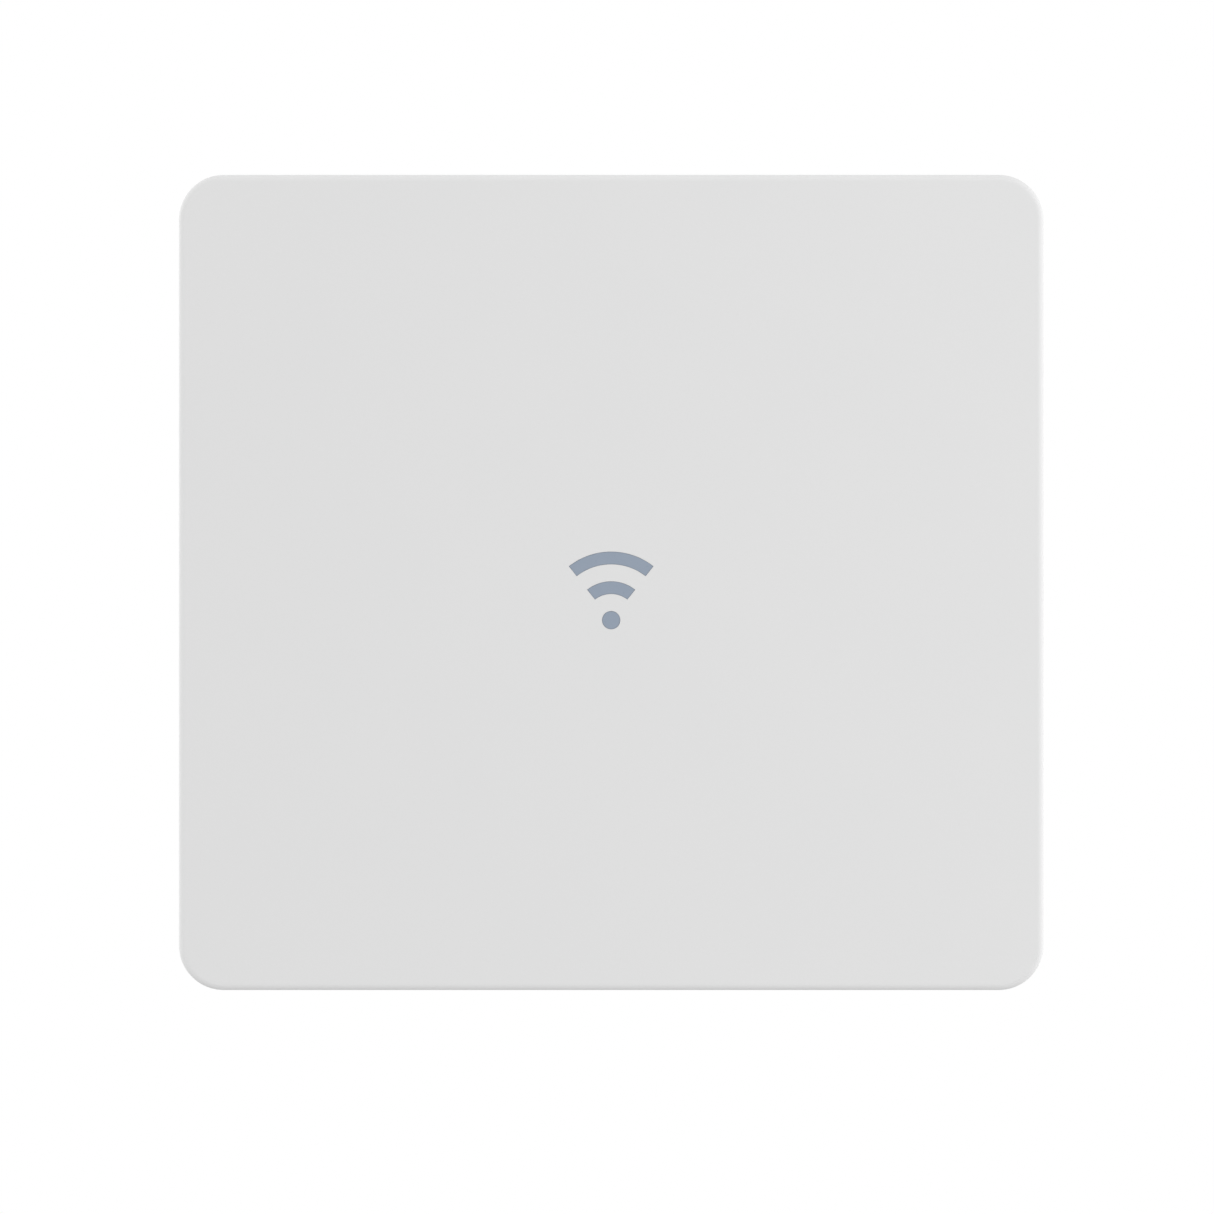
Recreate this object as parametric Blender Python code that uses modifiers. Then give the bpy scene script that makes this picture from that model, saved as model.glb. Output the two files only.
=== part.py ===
"""A square ceiling access point on its mounting bracket, as it hangs, in metres.

The ceiling is the plane z = 0 and the origin is the middle of the bracket's raised pad.
The face points down, and +Y is the side where the cable leaves.
"""

import math

import bmesh
import bpy
from mathutils import Matrix, Vector

MM = 0.001

# Clearances
GAP = 0.3 * MM  # between pieces that rest on or pass through each other
AIR = 0.6 * MM  # round the jacks in their wall, and between the board and the bay
SLIDE_AIR = 1.0 * MM  # between the bracket and what slides past its edge

# Outer body
BODY_WIDTH = 280 * MM
BODY_LENGTH = 264 * MM
CORNER_RADIUS = 14.5 * MM
CEILING_TO_BACK = 12 * MM
HOUSING_DEPTH = 10 * MM
HOUSING_WALL = 3 * MM
COVER_WALL = 2.6 * MM
BACK_EDGE_RADIUS = 4 * MM
FACE_EDGE_RADIUS = 2.2 * MM
CORNER_STEPS = 6
EDGE_STEPS = 3
LIP_WALL = 2 * MM
LIP_LENGTH = 4 * MM
LEDGE_DEPTH = 3.5 * MM

# Bracket on the ceiling
BRACKET_WIDTH = 156 * MM
BRACKET_LENGTH = 144 * MM
BRACKET_SHEET = 2 * MM
BRACKET_CORNER = 10 * MM
PAD_WIDTH = 92 * MM
PAD_LENGTH = 76 * MM
PAD_CORNER = 8 * MM
PAD_RISE = 6 * MM
PAD_SLOPE = 6 * MM  # how far the slope between pad and flange reaches out
PAD_SLOT_SPACING = 60 * MM
PAD_SLOT_WIDTH = 5 * MM
PAD_SLOT_LENGTH = 16 * MM
PAD_HOLE_X = 36 * MM
PAD_HOLE_Y = 27 * MM
PAD_HOLE_RADIUS = 2.6 * MM
CABLE_SCALLOP_RADIUS = 14 * MM

# Studs in their keyhole slots
STUD_X = 64 * MM
STUD_Y = 46 * MM
STUD_SHANK_RADIUS = 2.5 * MM
STUD_HEAD_RADIUS = 4.5 * MM
STUD_HEAD_HEIGHT = 2 * MM
STUD_THREAD_RADIUS = 1.7 * MM
STUD_THREAD_LENGTH = 4 * MM
STUD_BOSS_RADIUS = 7 * MM
STUD_BOSS_HEIGHT = 3 * MM
KEYHOLE_TRAVEL = 14 * MM
KEYHOLE_SIDE_AIR = 0.3 * MM
KEYHOLE_HEAD_AIR = 0.7 * MM

# Cooling fins
FIN_PITCH = 7 * MM
FIN_HEIGHT = 8 * MM
FIN_FOOT = 2.4 * MM
FIN_TIP = 1.4 * MM
FIN_EDGE_INSET = 10 * MM
FIN_AIR = 5 * MM  # between a fin and the bracket, the bay or a screw
SHORTEST_FIN = 6 * MM
ROOT_DEPTH = 1 * MM  # how far a rib, boss or fin is sunk into the wall it grows from

# Screws that hold the cover to the housing
SCREW_INSET = 14 * MM
SIDE_SCREW_INSET = 10 * MM
SCREW_SHANK_RADIUS = 1.5 * MM
SCREW_HEAD_RADIUS = 3 * MM
SCREW_HEAD_HEIGHT = 2.4 * MM
SCREW_LENGTH = 21 * MM
SCREW_SOCKET_RADIUS = 1.4 * MM
SCREW_BOSS_RADIUS = 4 * MM
HOUSING_BOSS_LENGTH = 11.7 * MM

# Port bay, open at the back, and its cable notch
BAY_WIDTH = 72 * MM
BAY_LENGTH = 38 * MM
BAY_EDGE_INSET = 10 * MM
BAY_WALL = 2.5 * MM
BAY_BELOW_JACKS = 2 * MM
NOTCH_WIDTH = 34 * MM
NOTCH_DEPTH = 8 * MM
LOCK_SLOT_LENGTH = 7 * MM
LOCK_SLOT_HEIGHT = 3 * MM
LOCK_SLOT_Y = -80 * MM

# Main board
BOARD_INSET = 22 * MM
BOARD_THICKNESS = 1.6 * MM
BOARD_CORNER = 4 * MM
BOARD_HOLE_INSET = 10 * MM
BOARD_BOSS_RADIUS = 4.5 * MM

# Jacks on the board
JACK_WIDTH = 16 * MM
JACK_HEIGHT = 13.5 * MM
JACK_LENGTH = 21.6 * MM
JACK_PROUD = 0.6 * MM
JACK_HEADROOM = 0.5 * MM
MAIN_JACK_X = -15 * MM
SECOND_JACK_X = 4 * MM
MOUTH_WIDTH = 11.8 * MM
MOUTH_HEIGHT = 7.6 * MM
MOUTH_DEPTH = 15 * MM
MOUTH_FLOOR = 3.8 * MM
KEYWAY_WIDTH = 6 * MM
KEYWAY_HEIGHT = 2.4 * MM
CONTACT_COUNT = 8
CONTACT_PITCH = 1.02 * MM
CONTACT_WIRE = 0.5 * MM
POWER_INLET_X = 20.5 * MM
POWER_INLET_WIDTH = 9 * MM
POWER_INLET_HEIGHT = 11 * MM
POWER_INLET_LENGTH = 14 * MM
POWER_BORE_RADIUS = 3.1 * MM
POWER_BORE_DEPTH = 9.5 * MM
POWER_PIN_RADIUS = 1 * MM

# Reset button in the jack wall
RESET_X = 31 * MM
RESET_RADIUS = 1.75 * MM
RESET_FLANGE_RADIUS = 2.7 * MM
RESET_FLANGE = 1 * MM
RESET_ABOVE_BOARD = 4.2 * MM
RESET_PROUD = 0.5 * MM
RESET_TRAVEL = 0.8 * MM
RESET_SWITCH = 6 * MM

# Ground screw in the jack wall
GROUND_X = -30 * MM
GROUND_RADIUS = 2 * MM
GROUND_HEAD_RADIUS = 3.6 * MM
GROUND_HEAD_HEIGHT = 2.6 * MM
GROUND_LENGTH = 6 * MM
GROUND_ABOVE_BOARD = 6 * MM

# Release latch beside the bracket
LATCH_Y = 30 * MM
LATCH_TRAVEL = 3.5 * MM
LATCH_THICKNESS = 3 * MM
LATCH_WIDTH = 10 * MM
LATCH_BITE = 3 * MM  # how far the nose stands inside the bracket's edge
LATCH_NOSE_WIDTH = 5 * MM
LATCH_RAIL = 2.5 * MM
LATCH_TAB_LENGTH = 8 * MM
LATCH_TAB_RISE = 1.8 * MM
LATCH_EDGE_INSET = 4 * MM
LATCH_PAD_HEIGHT = 2.8 * MM
LATCH_RUN_AIR = 0.4 * MM
SPRING_LENGTH = 12.4 * MM
SPRING_RADIUS = 1.5 * MM
SPRING_WIRE = 0.5 * MM
SPRING_TURNS = 5
SPRING_POINTS_A_TURN = 9
SPRING_START = 10.7 * MM  # from the bracket's edge to the end of the spring that the latch pushes
POST_LENGTH = 3.2 * MM
LATCH_COVER_LENGTH = 24 * MM
LATCH_COVER_SHEET = 1 * MM
LATCH_COVER_SIDE = 6 * MM
LATCH_COVER_FOOT = 1.6 * MM

# Chips, shields and what carries their heat to the housing
PROCESSOR = (24 * MM, 24 * MM, 2.2 * MM)
PROCESSOR_AT = (-22 * MM, 4 * MM)
MEMORY = (12 * MM, 9 * MM, 1.2 * MM)
MEMORY_X = -50 * MM
MEMORY_Y = (-4 * MM, 12 * MM)
SHIELD = (46 * MM, 34 * MM, 4 * MM)
SHIELD_SHEET = 0.4 * MM
LOW_SHIELD_AT = (40 * MM, 26 * MM)
HIGH_SHIELD_AT = (40 * MM, -26 * MM)
PAD_THICKNESS = 1 * MM
PAD_MARGIN = 2 * MM
TRANSFORMER = (18 * MM, 15 * MM, 9 * MM)
TRANSFORMER_AT = (-62 * MM, 62 * MM)
CAPACITOR_RADIUS = 5 * MM
CAPACITOR_HEIGHT = 11 * MM
CAPACITOR_AT = (-84 * MM, 60 * MM)
INDUCTOR = (12 * MM, 12 * MM, 6 * MM)
INDUCTOR_AT = (-84 * MM, 38 * MM)

# Antenna plate under the board, and its antennas
SPACER_ACROSS = 5.5 * MM
SPACER_LENGTH = 5.3 * MM
SPACER_THREAD_RADIUS = 1.3 * MM
SPACER_THREAD_LENGTH = 10 * MM
THREAD_AIR = 0.4 * MM
PLATE_THICKNESS = 1.2 * MM
PLATE_SCREW_RADIUS = 1.1 * MM
PLATE_SCREW_LENGTH = 4.6 * MM
PLATE_SCREW_HEAD_RADIUS = 2.5 * MM
PLATE_SCREW_HEAD_HEIGHT = 1.6 * MM
PATCH_SIZE = 34 * MM
PATCH_SHEET = 0.8 * MM
PATCH_RISE = 4 * MM
PATCH_LEG = 3 * MM
PATCH_LEG_INSET = 8 * MM
PATCH_CORNER_CUT = 6 * MM
PATCH_X = 62 * MM
PATCH_Y = 52 * MM
SIDE_ANTENNA_INSET = 16 * MM
SIDE_ANTENNA_SHEET = 0.8 * MM
SIDE_ANTENNA_FOOT = 8 * MM
SIDE_ANTENNA_ARM = 17 * MM
SIDE_ANTENNA_RISE = 5 * MM
SIDE_ANTENNA_WIDTH = 12 * MM
COAX_RADIUS = 0.7 * MM
COAX_HOLE_RADIUS = 2 * MM
COAX_POINT_SPACING = 4 * MM

# Status light behind the face
LIGHT_CENTRE = (0, 2.6 * MM)
LED_BOARD = (30 * MM, 22 * MM, 1.2 * MM)
LED_BOARD_FOOT = 1.6 * MM
LED = (3.2 * MM, 2.8 * MM, 1.6 * MM)
LIGHT_GAP = 1.6 * MM  # from the led to the light guide
GUIDE_BASE = (36 * MM, 30 * MM, 2.5 * MM)
STAKE_RADIUS = 1 * MM
STAKE_X = 15 * MM
STAKE_Y = 12 * MM
STAKE_HEIGHT = 3.2 * MM
MARK_DOT_RADIUS = 2.9 * MM
MARK_DOT_BELOW = 9.6 * MM
MARK_STROKE = 4 * MM
MARK_RADII = (10.5 * MM, 20.1 * MM)  # middle line of each wave
MARK_HALF_ANGLE = 38
MARK_ARC_STEPS = 14

# Levels, from the ceiling down
BACK_Z = -CEILING_TO_BACK
BASE_Z = BACK_Z - HOUSING_WALL
SEAM_Z = BACK_Z - HOUSING_DEPTH
COVER_TOP_Z = SEAM_Z - GAP
FLANGE_TOP_Z = -PAD_RISE
FLANGE_LOW_Z = FLANGE_TOP_Z - BRACKET_SHEET
FIN_TOP_Z = BACK_Z + FIN_HEIGHT
STUD_BOSS_Z = BACK_Z + STUD_BOSS_HEIGHT
JACK_TOP_Z = BASE_Z - JACK_HEADROOM
PART_Z = JACK_TOP_Z - JACK_HEIGHT  # underside of everything that stands on the board
BOARD_TOP_Z = PART_Z - GAP
BOARD_LOW_Z = BOARD_TOP_Z - BOARD_THICKNESS
SPACER_TOP_Z = BOARD_LOW_Z - GAP
SPACER_LOW_Z = SPACER_TOP_Z - SPACER_LENGTH
PLATE_TOP_Z = SPACER_LOW_Z - GAP
PLATE_LOW_Z = PLATE_TOP_Z - PLATE_THICKNESS
UNDER_PLATE_Z = PLATE_LOW_Z - GAP
LED_BOARD_LOW_Z = UNDER_PLATE_Z - LED_BOARD_FOOT - LED_BOARD[2]
LED_LOW_Z = LED_BOARD_LOW_Z - GAP - LED[2]
GUIDE_LOW_Z = LED_LOW_Z - LIGHT_GAP - GUIDE_BASE[2]
FACE_INSIDE_Z = GUIDE_LOW_Z - GAP
FACE_Z = FACE_INSIDE_Z - COVER_WALL
BAY_FLOOR_Z = PART_Z - BAY_BELOW_JACKS
HOUSING_BOSS_Z = BASE_Z - HOUSING_BOSS_LENGTH
COVER_BOSS_Z = HOUSING_BOSS_Z - GAP
LATCH_LOW_Z = BACK_Z + LATCH_PAD_HEIGHT + LATCH_RUN_AIR
LATCH_TOP_Z = LATCH_LOW_Z + LATCH_THICKNESS
LATCH_COVER_Z = LATCH_TOP_Z + GAP

# Places across the body
HALF_X = BODY_WIDTH / 2
HALF_Y = BODY_LENGTH / 2
BRACKET_HALF_X = BRACKET_WIDTH / 2
BRACKET_HALF_Y = BRACKET_LENGTH / 2
BAY_END_Y = HALF_Y - BAY_EDGE_INSET
JACK_WALL_Y = BAY_END_Y - BAY_LENGTH
JACK_FRONT_Y = JACK_WALL_Y + JACK_PROUD
BAY_HALF_X = BAY_WIDTH / 2
BOARD_HALF_X = HALF_X - BOARD_INSET
BOARD_HALF_Y = HALF_Y - BOARD_INSET
BOARD_HOLE_X = BOARD_HALF_X - BOARD_HOLE_INSET
BOARD_HOLE_Y = BOARD_HALF_Y - BOARD_HOLE_INSET
LATCH_NOSE_X = BRACKET_HALF_X - LATCH_BITE
LATCH_BAR_X = BRACKET_HALF_X + SLIDE_AIR
LATCH_END_X = HALF_X - LATCH_EDGE_INSET
SPRING_X = BRACKET_HALF_X + SPRING_START
POST_X = SPRING_X + SPRING_LENGTH + 2 * GAP
WINDOW_END_X = POST_X + POST_LENGTH + GAP

CORNERS = ((1, 1), (-1, 1), (-1, -1), (1, -1))
SCREW_PLACES = [
    (x * (HALF_X - SCREW_INSET), y * (HALF_Y - SCREW_INSET)) for x, y in CORNERS
] + [(x * (HALF_X - SIDE_SCREW_INSET), 0) for x in (1, -1)]

for leftover in list(bpy.data.objects):
    bpy.data.objects.remove(leftover, do_unlink=True)

PARTS = bpy.data.collections.new("ceiling access point")
TOOLS = bpy.data.collections.new("cutters")
bpy.context.scene.collection.children.link(PARTS)
bpy.context.scene.collection.children.link(TOOLS)


# Helpers


def finish(name, colour, roughness, metallic=0.0):
    material = bpy.data.materials.new(name)
    material.use_nodes = True
    shader = material.node_tree.nodes["Principled BSDF"]
    shader.inputs["Base Color"].default_value = (*colour, 1)
    shader.inputs["Roughness"].default_value = roughness
    shader.inputs["Metallic"].default_value = metallic
    return material


COVER_WHITE = finish("cover white", (0.80, 0.81, 0.81), 0.45)
HOUSING_PAINT = finish("housing paint", (0.70, 0.71, 0.71), 0.5, 0.1)
ZINC = finish("zinc plate", (0.62, 0.63, 0.64), 0.35, 1.0)
TINPLATE = finish("tinplate", (0.72, 0.72, 0.70), 0.3, 1.0)
BOARD_GREEN = finish("board green", (0.03, 0.16, 0.07), 0.45)
CHIP_BLACK = finish("chip black", (0.03, 0.03, 0.035), 0.5)
GOLD = finish("gold contact", (0.83, 0.62, 0.22), 0.25, 1.0)
COPPER = finish("copper sheet", (0.72, 0.42, 0.28), 0.3, 1.0)
THERMAL_GREY = finish("thermal pad", (0.45, 0.50, 0.56), 0.8)
COAX_GREY = finish("coax jacket", (0.30, 0.31, 0.32), 0.5)
LIGHT_GREY = finish("light guide", (0.29, 0.35, 0.43), 0.35)
LED_WHITE = finish("led", (0.85, 0.84, 0.70), 0.3)
BUTTON_GREY = finish("button grey", (0.25, 0.26, 0.27), 0.5)
LATCH_BLUE = finish("latch plastic", (0.36, 0.40, 0.44), 0.5)


def from_bmesh(name, bm, at=(0, 0, 0)):
    mesh = bpy.data.meshes.new(name)
    bm.to_mesh(mesh)
    bm.free()
    obj = bpy.data.objects.new(name, mesh)
    obj.location = at
    TOOLS.objects.link(obj)
    return obj


def add_block(bm, low, high):
    low, high = Vector(low), Vector(high)
    size = Matrix.Diagonal((*(high - low), 1))
    bmesh.ops.create_cube(bm, size=1, matrix=Matrix.Translation((low + high) / 2) @ size)


def add_rod(bm, centre, radius, low, high, axis="Z", sides=24, end_radius=None):
    """A round rod from low to high along axis, centred on the two other coordinates."""
    turn = {"X": Matrix.Rotation(math.pi / 2, 4, "Y"), "Y": Matrix.Rotation(-math.pi / 2, 4, "X")}
    middle = (low + high) / 2
    place = {
        "X": (middle, centre[0], centre[1]),
        "Y": (centre[0], middle, centre[1]),
        "Z": (centre[0], centre[1], middle),
    }
    bmesh.ops.create_cone(
        bm,
        cap_ends=True,
        segments=sides,
        radius1=radius,
        radius2=radius if end_radius is None else end_radius,
        depth=high - low,
        matrix=Matrix.Translation(place[axis]) @ turn.get(axis, Matrix.Identity(4)),
    )


def block(name, low, high):
    bm = bmesh.new()
    add_block(bm, low, high)
    return from_bmesh(name, bm)


def rod(name, centre, radius, low, high, axis="Z", sides=24, end_radius=None):
    bm = bmesh.new()
    add_rod(bm, centre, radius, low, high, axis, sides, end_radius)
    return from_bmesh(name, bm)


def baked(obj):
    """The object's evaluated mesh, closed at its caps, in a new object in its place."""
    bpy.context.view_layer.update()
    evaluated = obj.evaluated_get(bpy.context.evaluated_depsgraph_get())
    mesh = bpy.data.meshes.new_from_object(evaluated)
    bm = bmesh.new()
    bm.from_mesh(mesh)
    bmesh.ops.remove_doubles(bm, verts=bm.verts, dist=1e-6)
    if obj.type == "CURVE":
        bmesh.ops.dissolve_limit(bm, angle_limit=math.radians(0.5), verts=bm.verts, edges=bm.edges)
    bmesh.ops.recalc_face_normals(bm, faces=bm.faces)
    bm.to_mesh(mesh)
    bm.free()
    solid = bpy.data.objects.new(obj.name, mesh)
    solid.matrix_world = obj.matrix_world
    TOOLS.objects.link(solid)
    bpy.data.objects.remove(obj, do_unlink=True)
    return solid


def poly_curve(name, outlines, dimensions, closed):
    curve = bpy.data.curves.new(name, "CURVE")
    curve.dimensions = dimensions
    for points in outlines:
        spline = curve.splines.new("POLY")
        spline.points.add(len(points) - 1)
        spline.use_cyclic_u = closed
        for knot, point in zip(spline.points, points):
            knot.co = (*Vector(point).to_3d(), 1)
    obj = bpy.data.objects.new(name, curve)
    TOOLS.objects.link(obj)
    return obj


def extruded(name, outline, low, high, holes=()):
    """A flat outline in X and Y, thickened from low to high."""
    obj = poly_curve(name, (outline, *holes), "2D", True)
    obj.data.fill_mode = "BOTH"
    obj.data.extrude = (high - low) / 2
    obj.location.z = (low + high) / 2
    return baked(obj)


def wire(name, points, radius):
    obj = poly_curve(name, (points,), "3D", False)
    obj.data.bevel_depth = radius
    obj.data.bevel_resolution = 2
    obj.data.use_fill_caps = True
    return baked(obj)


def turned(name, profile, steps=20):
    """A profile of (radius, height) pairs, top to bottom, turned about Z."""
    mesh = bpy.data.meshes.new(name)
    edges = [(i, i + 1) for i in range(len(profile) - 1)]
    mesh.from_pydata([(r, 0, z) for r, z in profile], edges, [])
    obj = bpy.data.objects.new(name, mesh)
    TOOLS.objects.link(obj)
    screw = obj.modifiers.new("Turn", "SCREW")
    screw.steps = steps
    screw.render_steps = steps
    screw.use_merge_vertices = True
    screw.merge_threshold = 0.01 * MM
    return baked(obj)


def rounded(half_x, half_y, radius, steps=CORNER_STEPS):
    """A rounded rectangle's points, anticlockwise."""
    points = []
    for quarter, (side_x, side_y) in enumerate(CORNERS):
        for step in range(steps + 1):
            angle = math.pi / 2 * (quarter + step / steps)
            x = side_x * (half_x - radius) + radius * math.cos(angle)
            y = side_y * (half_y - radius) + radius * math.sin(angle)
            points.append((x, y))
    return points


def body_outline(inset):
    return rounded(HALF_X - inset, HALF_Y - inset, CORNER_RADIUS - inset)


def circle(x, y, radius, sides=20):
    turns = [2 * math.pi * i / sides for i in range(sides)]
    return [(x + radius * math.cos(a), y + radius * math.sin(a)) for a in turns]


def round_edge_at(obj, height, radius, steps=EDGE_STEPS):
    """Rounds the outer edge whose points lie at this height."""
    mesh = obj.data
    weights = mesh.attributes.new("bevel_weight_edge", "FLOAT", "EDGE")
    for edge in mesh.edges:
        levels = [(obj.matrix_world @ mesh.vertices[i].co).z for i in edge.vertices]
        at_edge = all(abs(level - height) < 0.01 * MM for level in levels)
        weights.data[edge.index].value = 1.0 if at_edge else 0.0
    bevel = obj.modifiers.new("Edge", "BEVEL")
    bevel.limit_method = "WEIGHT"
    bevel.width = radius
    bevel.segments = steps
    bevel.use_clamp_overlap = False


def combine(target, operation, tools):
    """Adds one Boolean on target with all the tools, which stay in a collection of their own."""
    group = bpy.data.collections.new(f"{target.name} {operation.lower()}")
    TOOLS.children.link(group)
    for tool in tools:
        TOOLS.objects.unlink(tool)
        group.objects.link(tool)
        tool.hide_render = True
        tool.display_type = "WIRE"
    modifier = target.modifiers.new(operation.title(), "BOOLEAN")
    modifier.operation = operation
    modifier.operand_type = "COLLECTION"
    modifier.collection = group
    modifier.solver = "EXACT"


def join(target, *tools):
    combine(target, "UNION", tools)


def cut(target, *tools):
    combine(target, "DIFFERENCE", tools)


def keep(obj, name, material, parent):
    """Makes the object a part of the model, under the body that carries it."""
    obj.name = name
    obj.data.materials.clear()
    obj.data.materials.append(material)
    obj.data.shade_smooth()
    obj.data.set_sharp_from_angle(angle=math.radians(35))
    TOOLS.objects.unlink(obj)
    PARTS.objects.link(obj)
    obj.parent = parent
    return obj


def keep_copies(obj, name, material, parent, places, turns=None):
    """One object for each place, all with the mesh of obj, numbered from 1."""
    pattern = baked(obj)
    for number, place in enumerate(places, 1):
        copy = bpy.data.objects.new(f"{name}_{number}", pattern.data)
        copy.location = pattern.location + Vector(place).to_3d()
        copy.rotation_euler.z = turns[number - 1] if turns else 0
        TOOLS.objects.link(copy)
        keep(copy, f"{name}_{number}", material, parent)
    bpy.data.objects.remove(pattern, do_unlink=True)


def with_origin_at(obj, place):
    """Moves the object's own origin to place and leaves its shape where it is."""
    obj.data.transform(Matrix.Translation(-Vector(place)))
    obj.location = place
    return obj


def empty(name, place=(0, 0, 0), parent=None):
    obj = bpy.data.objects.new(name, None)
    obj.location = place
    obj.parent = parent
    PARTS.objects.link(obj)
    return obj


# Ceiling bracket


def keyhole(x, y):
    """A keyhole slot, narrow at (x, y) and wide a stud's travel away towards -Y."""
    narrow = STUD_SHANK_RADIUS + KEYHOLE_SIDE_AIR
    wide = STUD_HEAD_RADIUS + KEYHOLE_HEAD_AIR
    meeting = math.acos(narrow / wide)
    points = []
    for step in range(9):
        angle = math.pi * step / 8
        points.append((x + narrow * math.cos(angle), y + narrow * math.sin(angle)))
    sweep = math.pi + 2 * meeting
    for step in range(17):
        angle = math.pi - meeting + sweep * step / 16
        wide_y = y - KEYHOLE_TRAVEL + wide * math.sin(angle)
        points.append((x + wide * math.cos(angle), wide_y))
    return points


def make_bracket(parent):
    sections = (
        (BRACKET_HALF_X, BRACKET_HALF_Y, BRACKET_CORNER, FLANGE_TOP_Z),
        (
            PAD_WIDTH / 2 + PAD_SLOPE,
            PAD_LENGTH / 2 + PAD_SLOPE,
            PAD_CORNER + PAD_SLOPE,
            FLANGE_TOP_Z,
        ),
        (PAD_WIDTH / 2, PAD_LENGTH / 2, PAD_CORNER, 0),
    )
    bm = bmesh.new()
    loops = []
    for half_x, half_y, radius, height in sections:
        verts = [bm.verts.new((x, y, height)) for x, y in rounded(half_x, half_y, radius, 4)]
        loops.append(verts)
    for outer, inner in zip(loops, loops[1:]):
        for i in range(len(outer)):
            j = (i + 1) % len(outer)
            bm.faces.new((outer[i], outer[j], inner[j], inner[i]))
    bm.faces.new(loops[-1])
    sheet = from_bmesh("bracket sheet", bm)
    solidify = sheet.modifiers.new("Sheet", "SOLIDIFY")
    solidify.thickness = BRACKET_SHEET
    solidify.offset = -1
    solidify.use_even_offset = True
    top, low = MM, FLANGE_LOW_Z - MM
    cutters = []
    for side_x, side_y in CORNERS:
        slot = keyhole(side_x * STUD_X, side_y * STUD_Y)
        cutters.append(extruded("keyhole", slot, low, top))
        place = (side_x * PAD_HOLE_X, side_y * PAD_HOLE_Y)
        cutters.append(rod("pad hole", place, PAD_HOLE_RADIUS, low, top, sides=16))
    for side_x in (1, -1):
        slot = rounded(PAD_SLOT_WIDTH / 2, PAD_SLOT_LENGTH / 2, PAD_SLOT_WIDTH / 2 - GAP, 4)
        moved = [(x + side_x * PAD_SLOT_SPACING / 2, y) for x, y in slot]
        cutters.append(extruded("pad slot", moved, low, top))
    cutters.append(rod("scallop", (0, BRACKET_HALF_Y), CABLE_SCALLOP_RADIUS, low, top, sides=32))
    half_nose = LATCH_NOSE_WIDTH / 2 + LATCH_RUN_AIR
    notch_low = (LATCH_NOSE_X - SLIDE_AIR, LATCH_Y - half_nose - KEYHOLE_TRAVEL, low)
    notch_high = (BRACKET_HALF_X + MM, LATCH_Y + half_nose, top)
    cutters.append(block("latch notch", notch_low, notch_high))
    cut(sheet, *cutters)
    keep(sheet, "ceiling_bracket", ZINC, parent)


# Rear housing


def fin_spans(x, blocked):
    """The stretches of Y that a fin at x may fill, outside the blocked boxes."""
    reach = HALF_Y - FIN_EDGE_INSET
    spans = [(-reach, reach)]
    for low_x, high_x, low_y, high_y in blocked:
        if not low_x < x < high_x:
            continue
        left = []
        for start, end in spans:
            left.append((start, min(end, low_y)))
            left.append((max(start, high_y), end))
        spans = left
    return [(a, b) for a, b in spans if b - a >= SHORTEST_FIN]


def make_fins():
    clear_x = BRACKET_HALF_X + FIN_AIR
    clear_low = -BRACKET_HALF_Y - FIN_AIR
    clear_high = BRACKET_HALF_Y + KEYHOLE_TRAVEL + FIN_AIR
    latch_half = LATCH_WIDTH / 2 + LATCH_COVER_SIDE + LATCH_COVER_SHEET + FIN_AIR / 2
    bay_x = BAY_HALF_X + BAY_WALL + FIN_AIR
    bay_y = JACK_WALL_Y - BAY_WALL - FIN_AIR
    blocked = [
        (-clear_x, clear_x, clear_low, clear_high),
        (0, HALF_X, LATCH_Y - latch_half, LATCH_Y + latch_half),
        (-bay_x, bay_x, bay_y, HALF_Y),
    ]
    reach = SCREW_HEAD_RADIUS + FIN_AIR
    for x, y in SCREW_PLACES:
        blocked.append((x - reach, x + reach, y - reach, y + reach))
    bm = bmesh.new()
    count = math.floor((HALF_X - FIN_EDGE_INSET) / FIN_PITCH)
    for number in range(-count, count + 1):
        x = number * FIN_PITCH
        for start, end in fin_spans(x, blocked):
            low = (x - FIN_FOOT / 2, start, BACK_Z - ROOT_DEPTH)
            high = (x + FIN_FOOT / 2, end, FIN_TOP_Z)
            before = len(bm.verts)
            add_block(bm, low, high)
            bm.verts.ensure_lookup_table()
            for vert in bm.verts[before:]:
                if vert.co.z > BACK_Z:
                    vert.co.x = x + (vert.co.x - x) * FIN_TIP / FIN_FOOT
    return from_bmesh("fins", bm)


def pedestal(place, size, top_of_part):
    """A block from the base down to the thermal pad of one chip or shield."""
    half_x = size[0] / 2 - PAD_MARGIN
    half_y = size[1] / 2 - PAD_MARGIN
    low_z = top_of_part + GAP + PAD_THICKNESS + GAP
    low = (place[0] - half_x, place[1] - half_y, low_z)
    high = (place[0] + half_x, place[1] + half_y, BASE_Z + ROOT_DEPTH)
    return block("pedestal", low, high)


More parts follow.
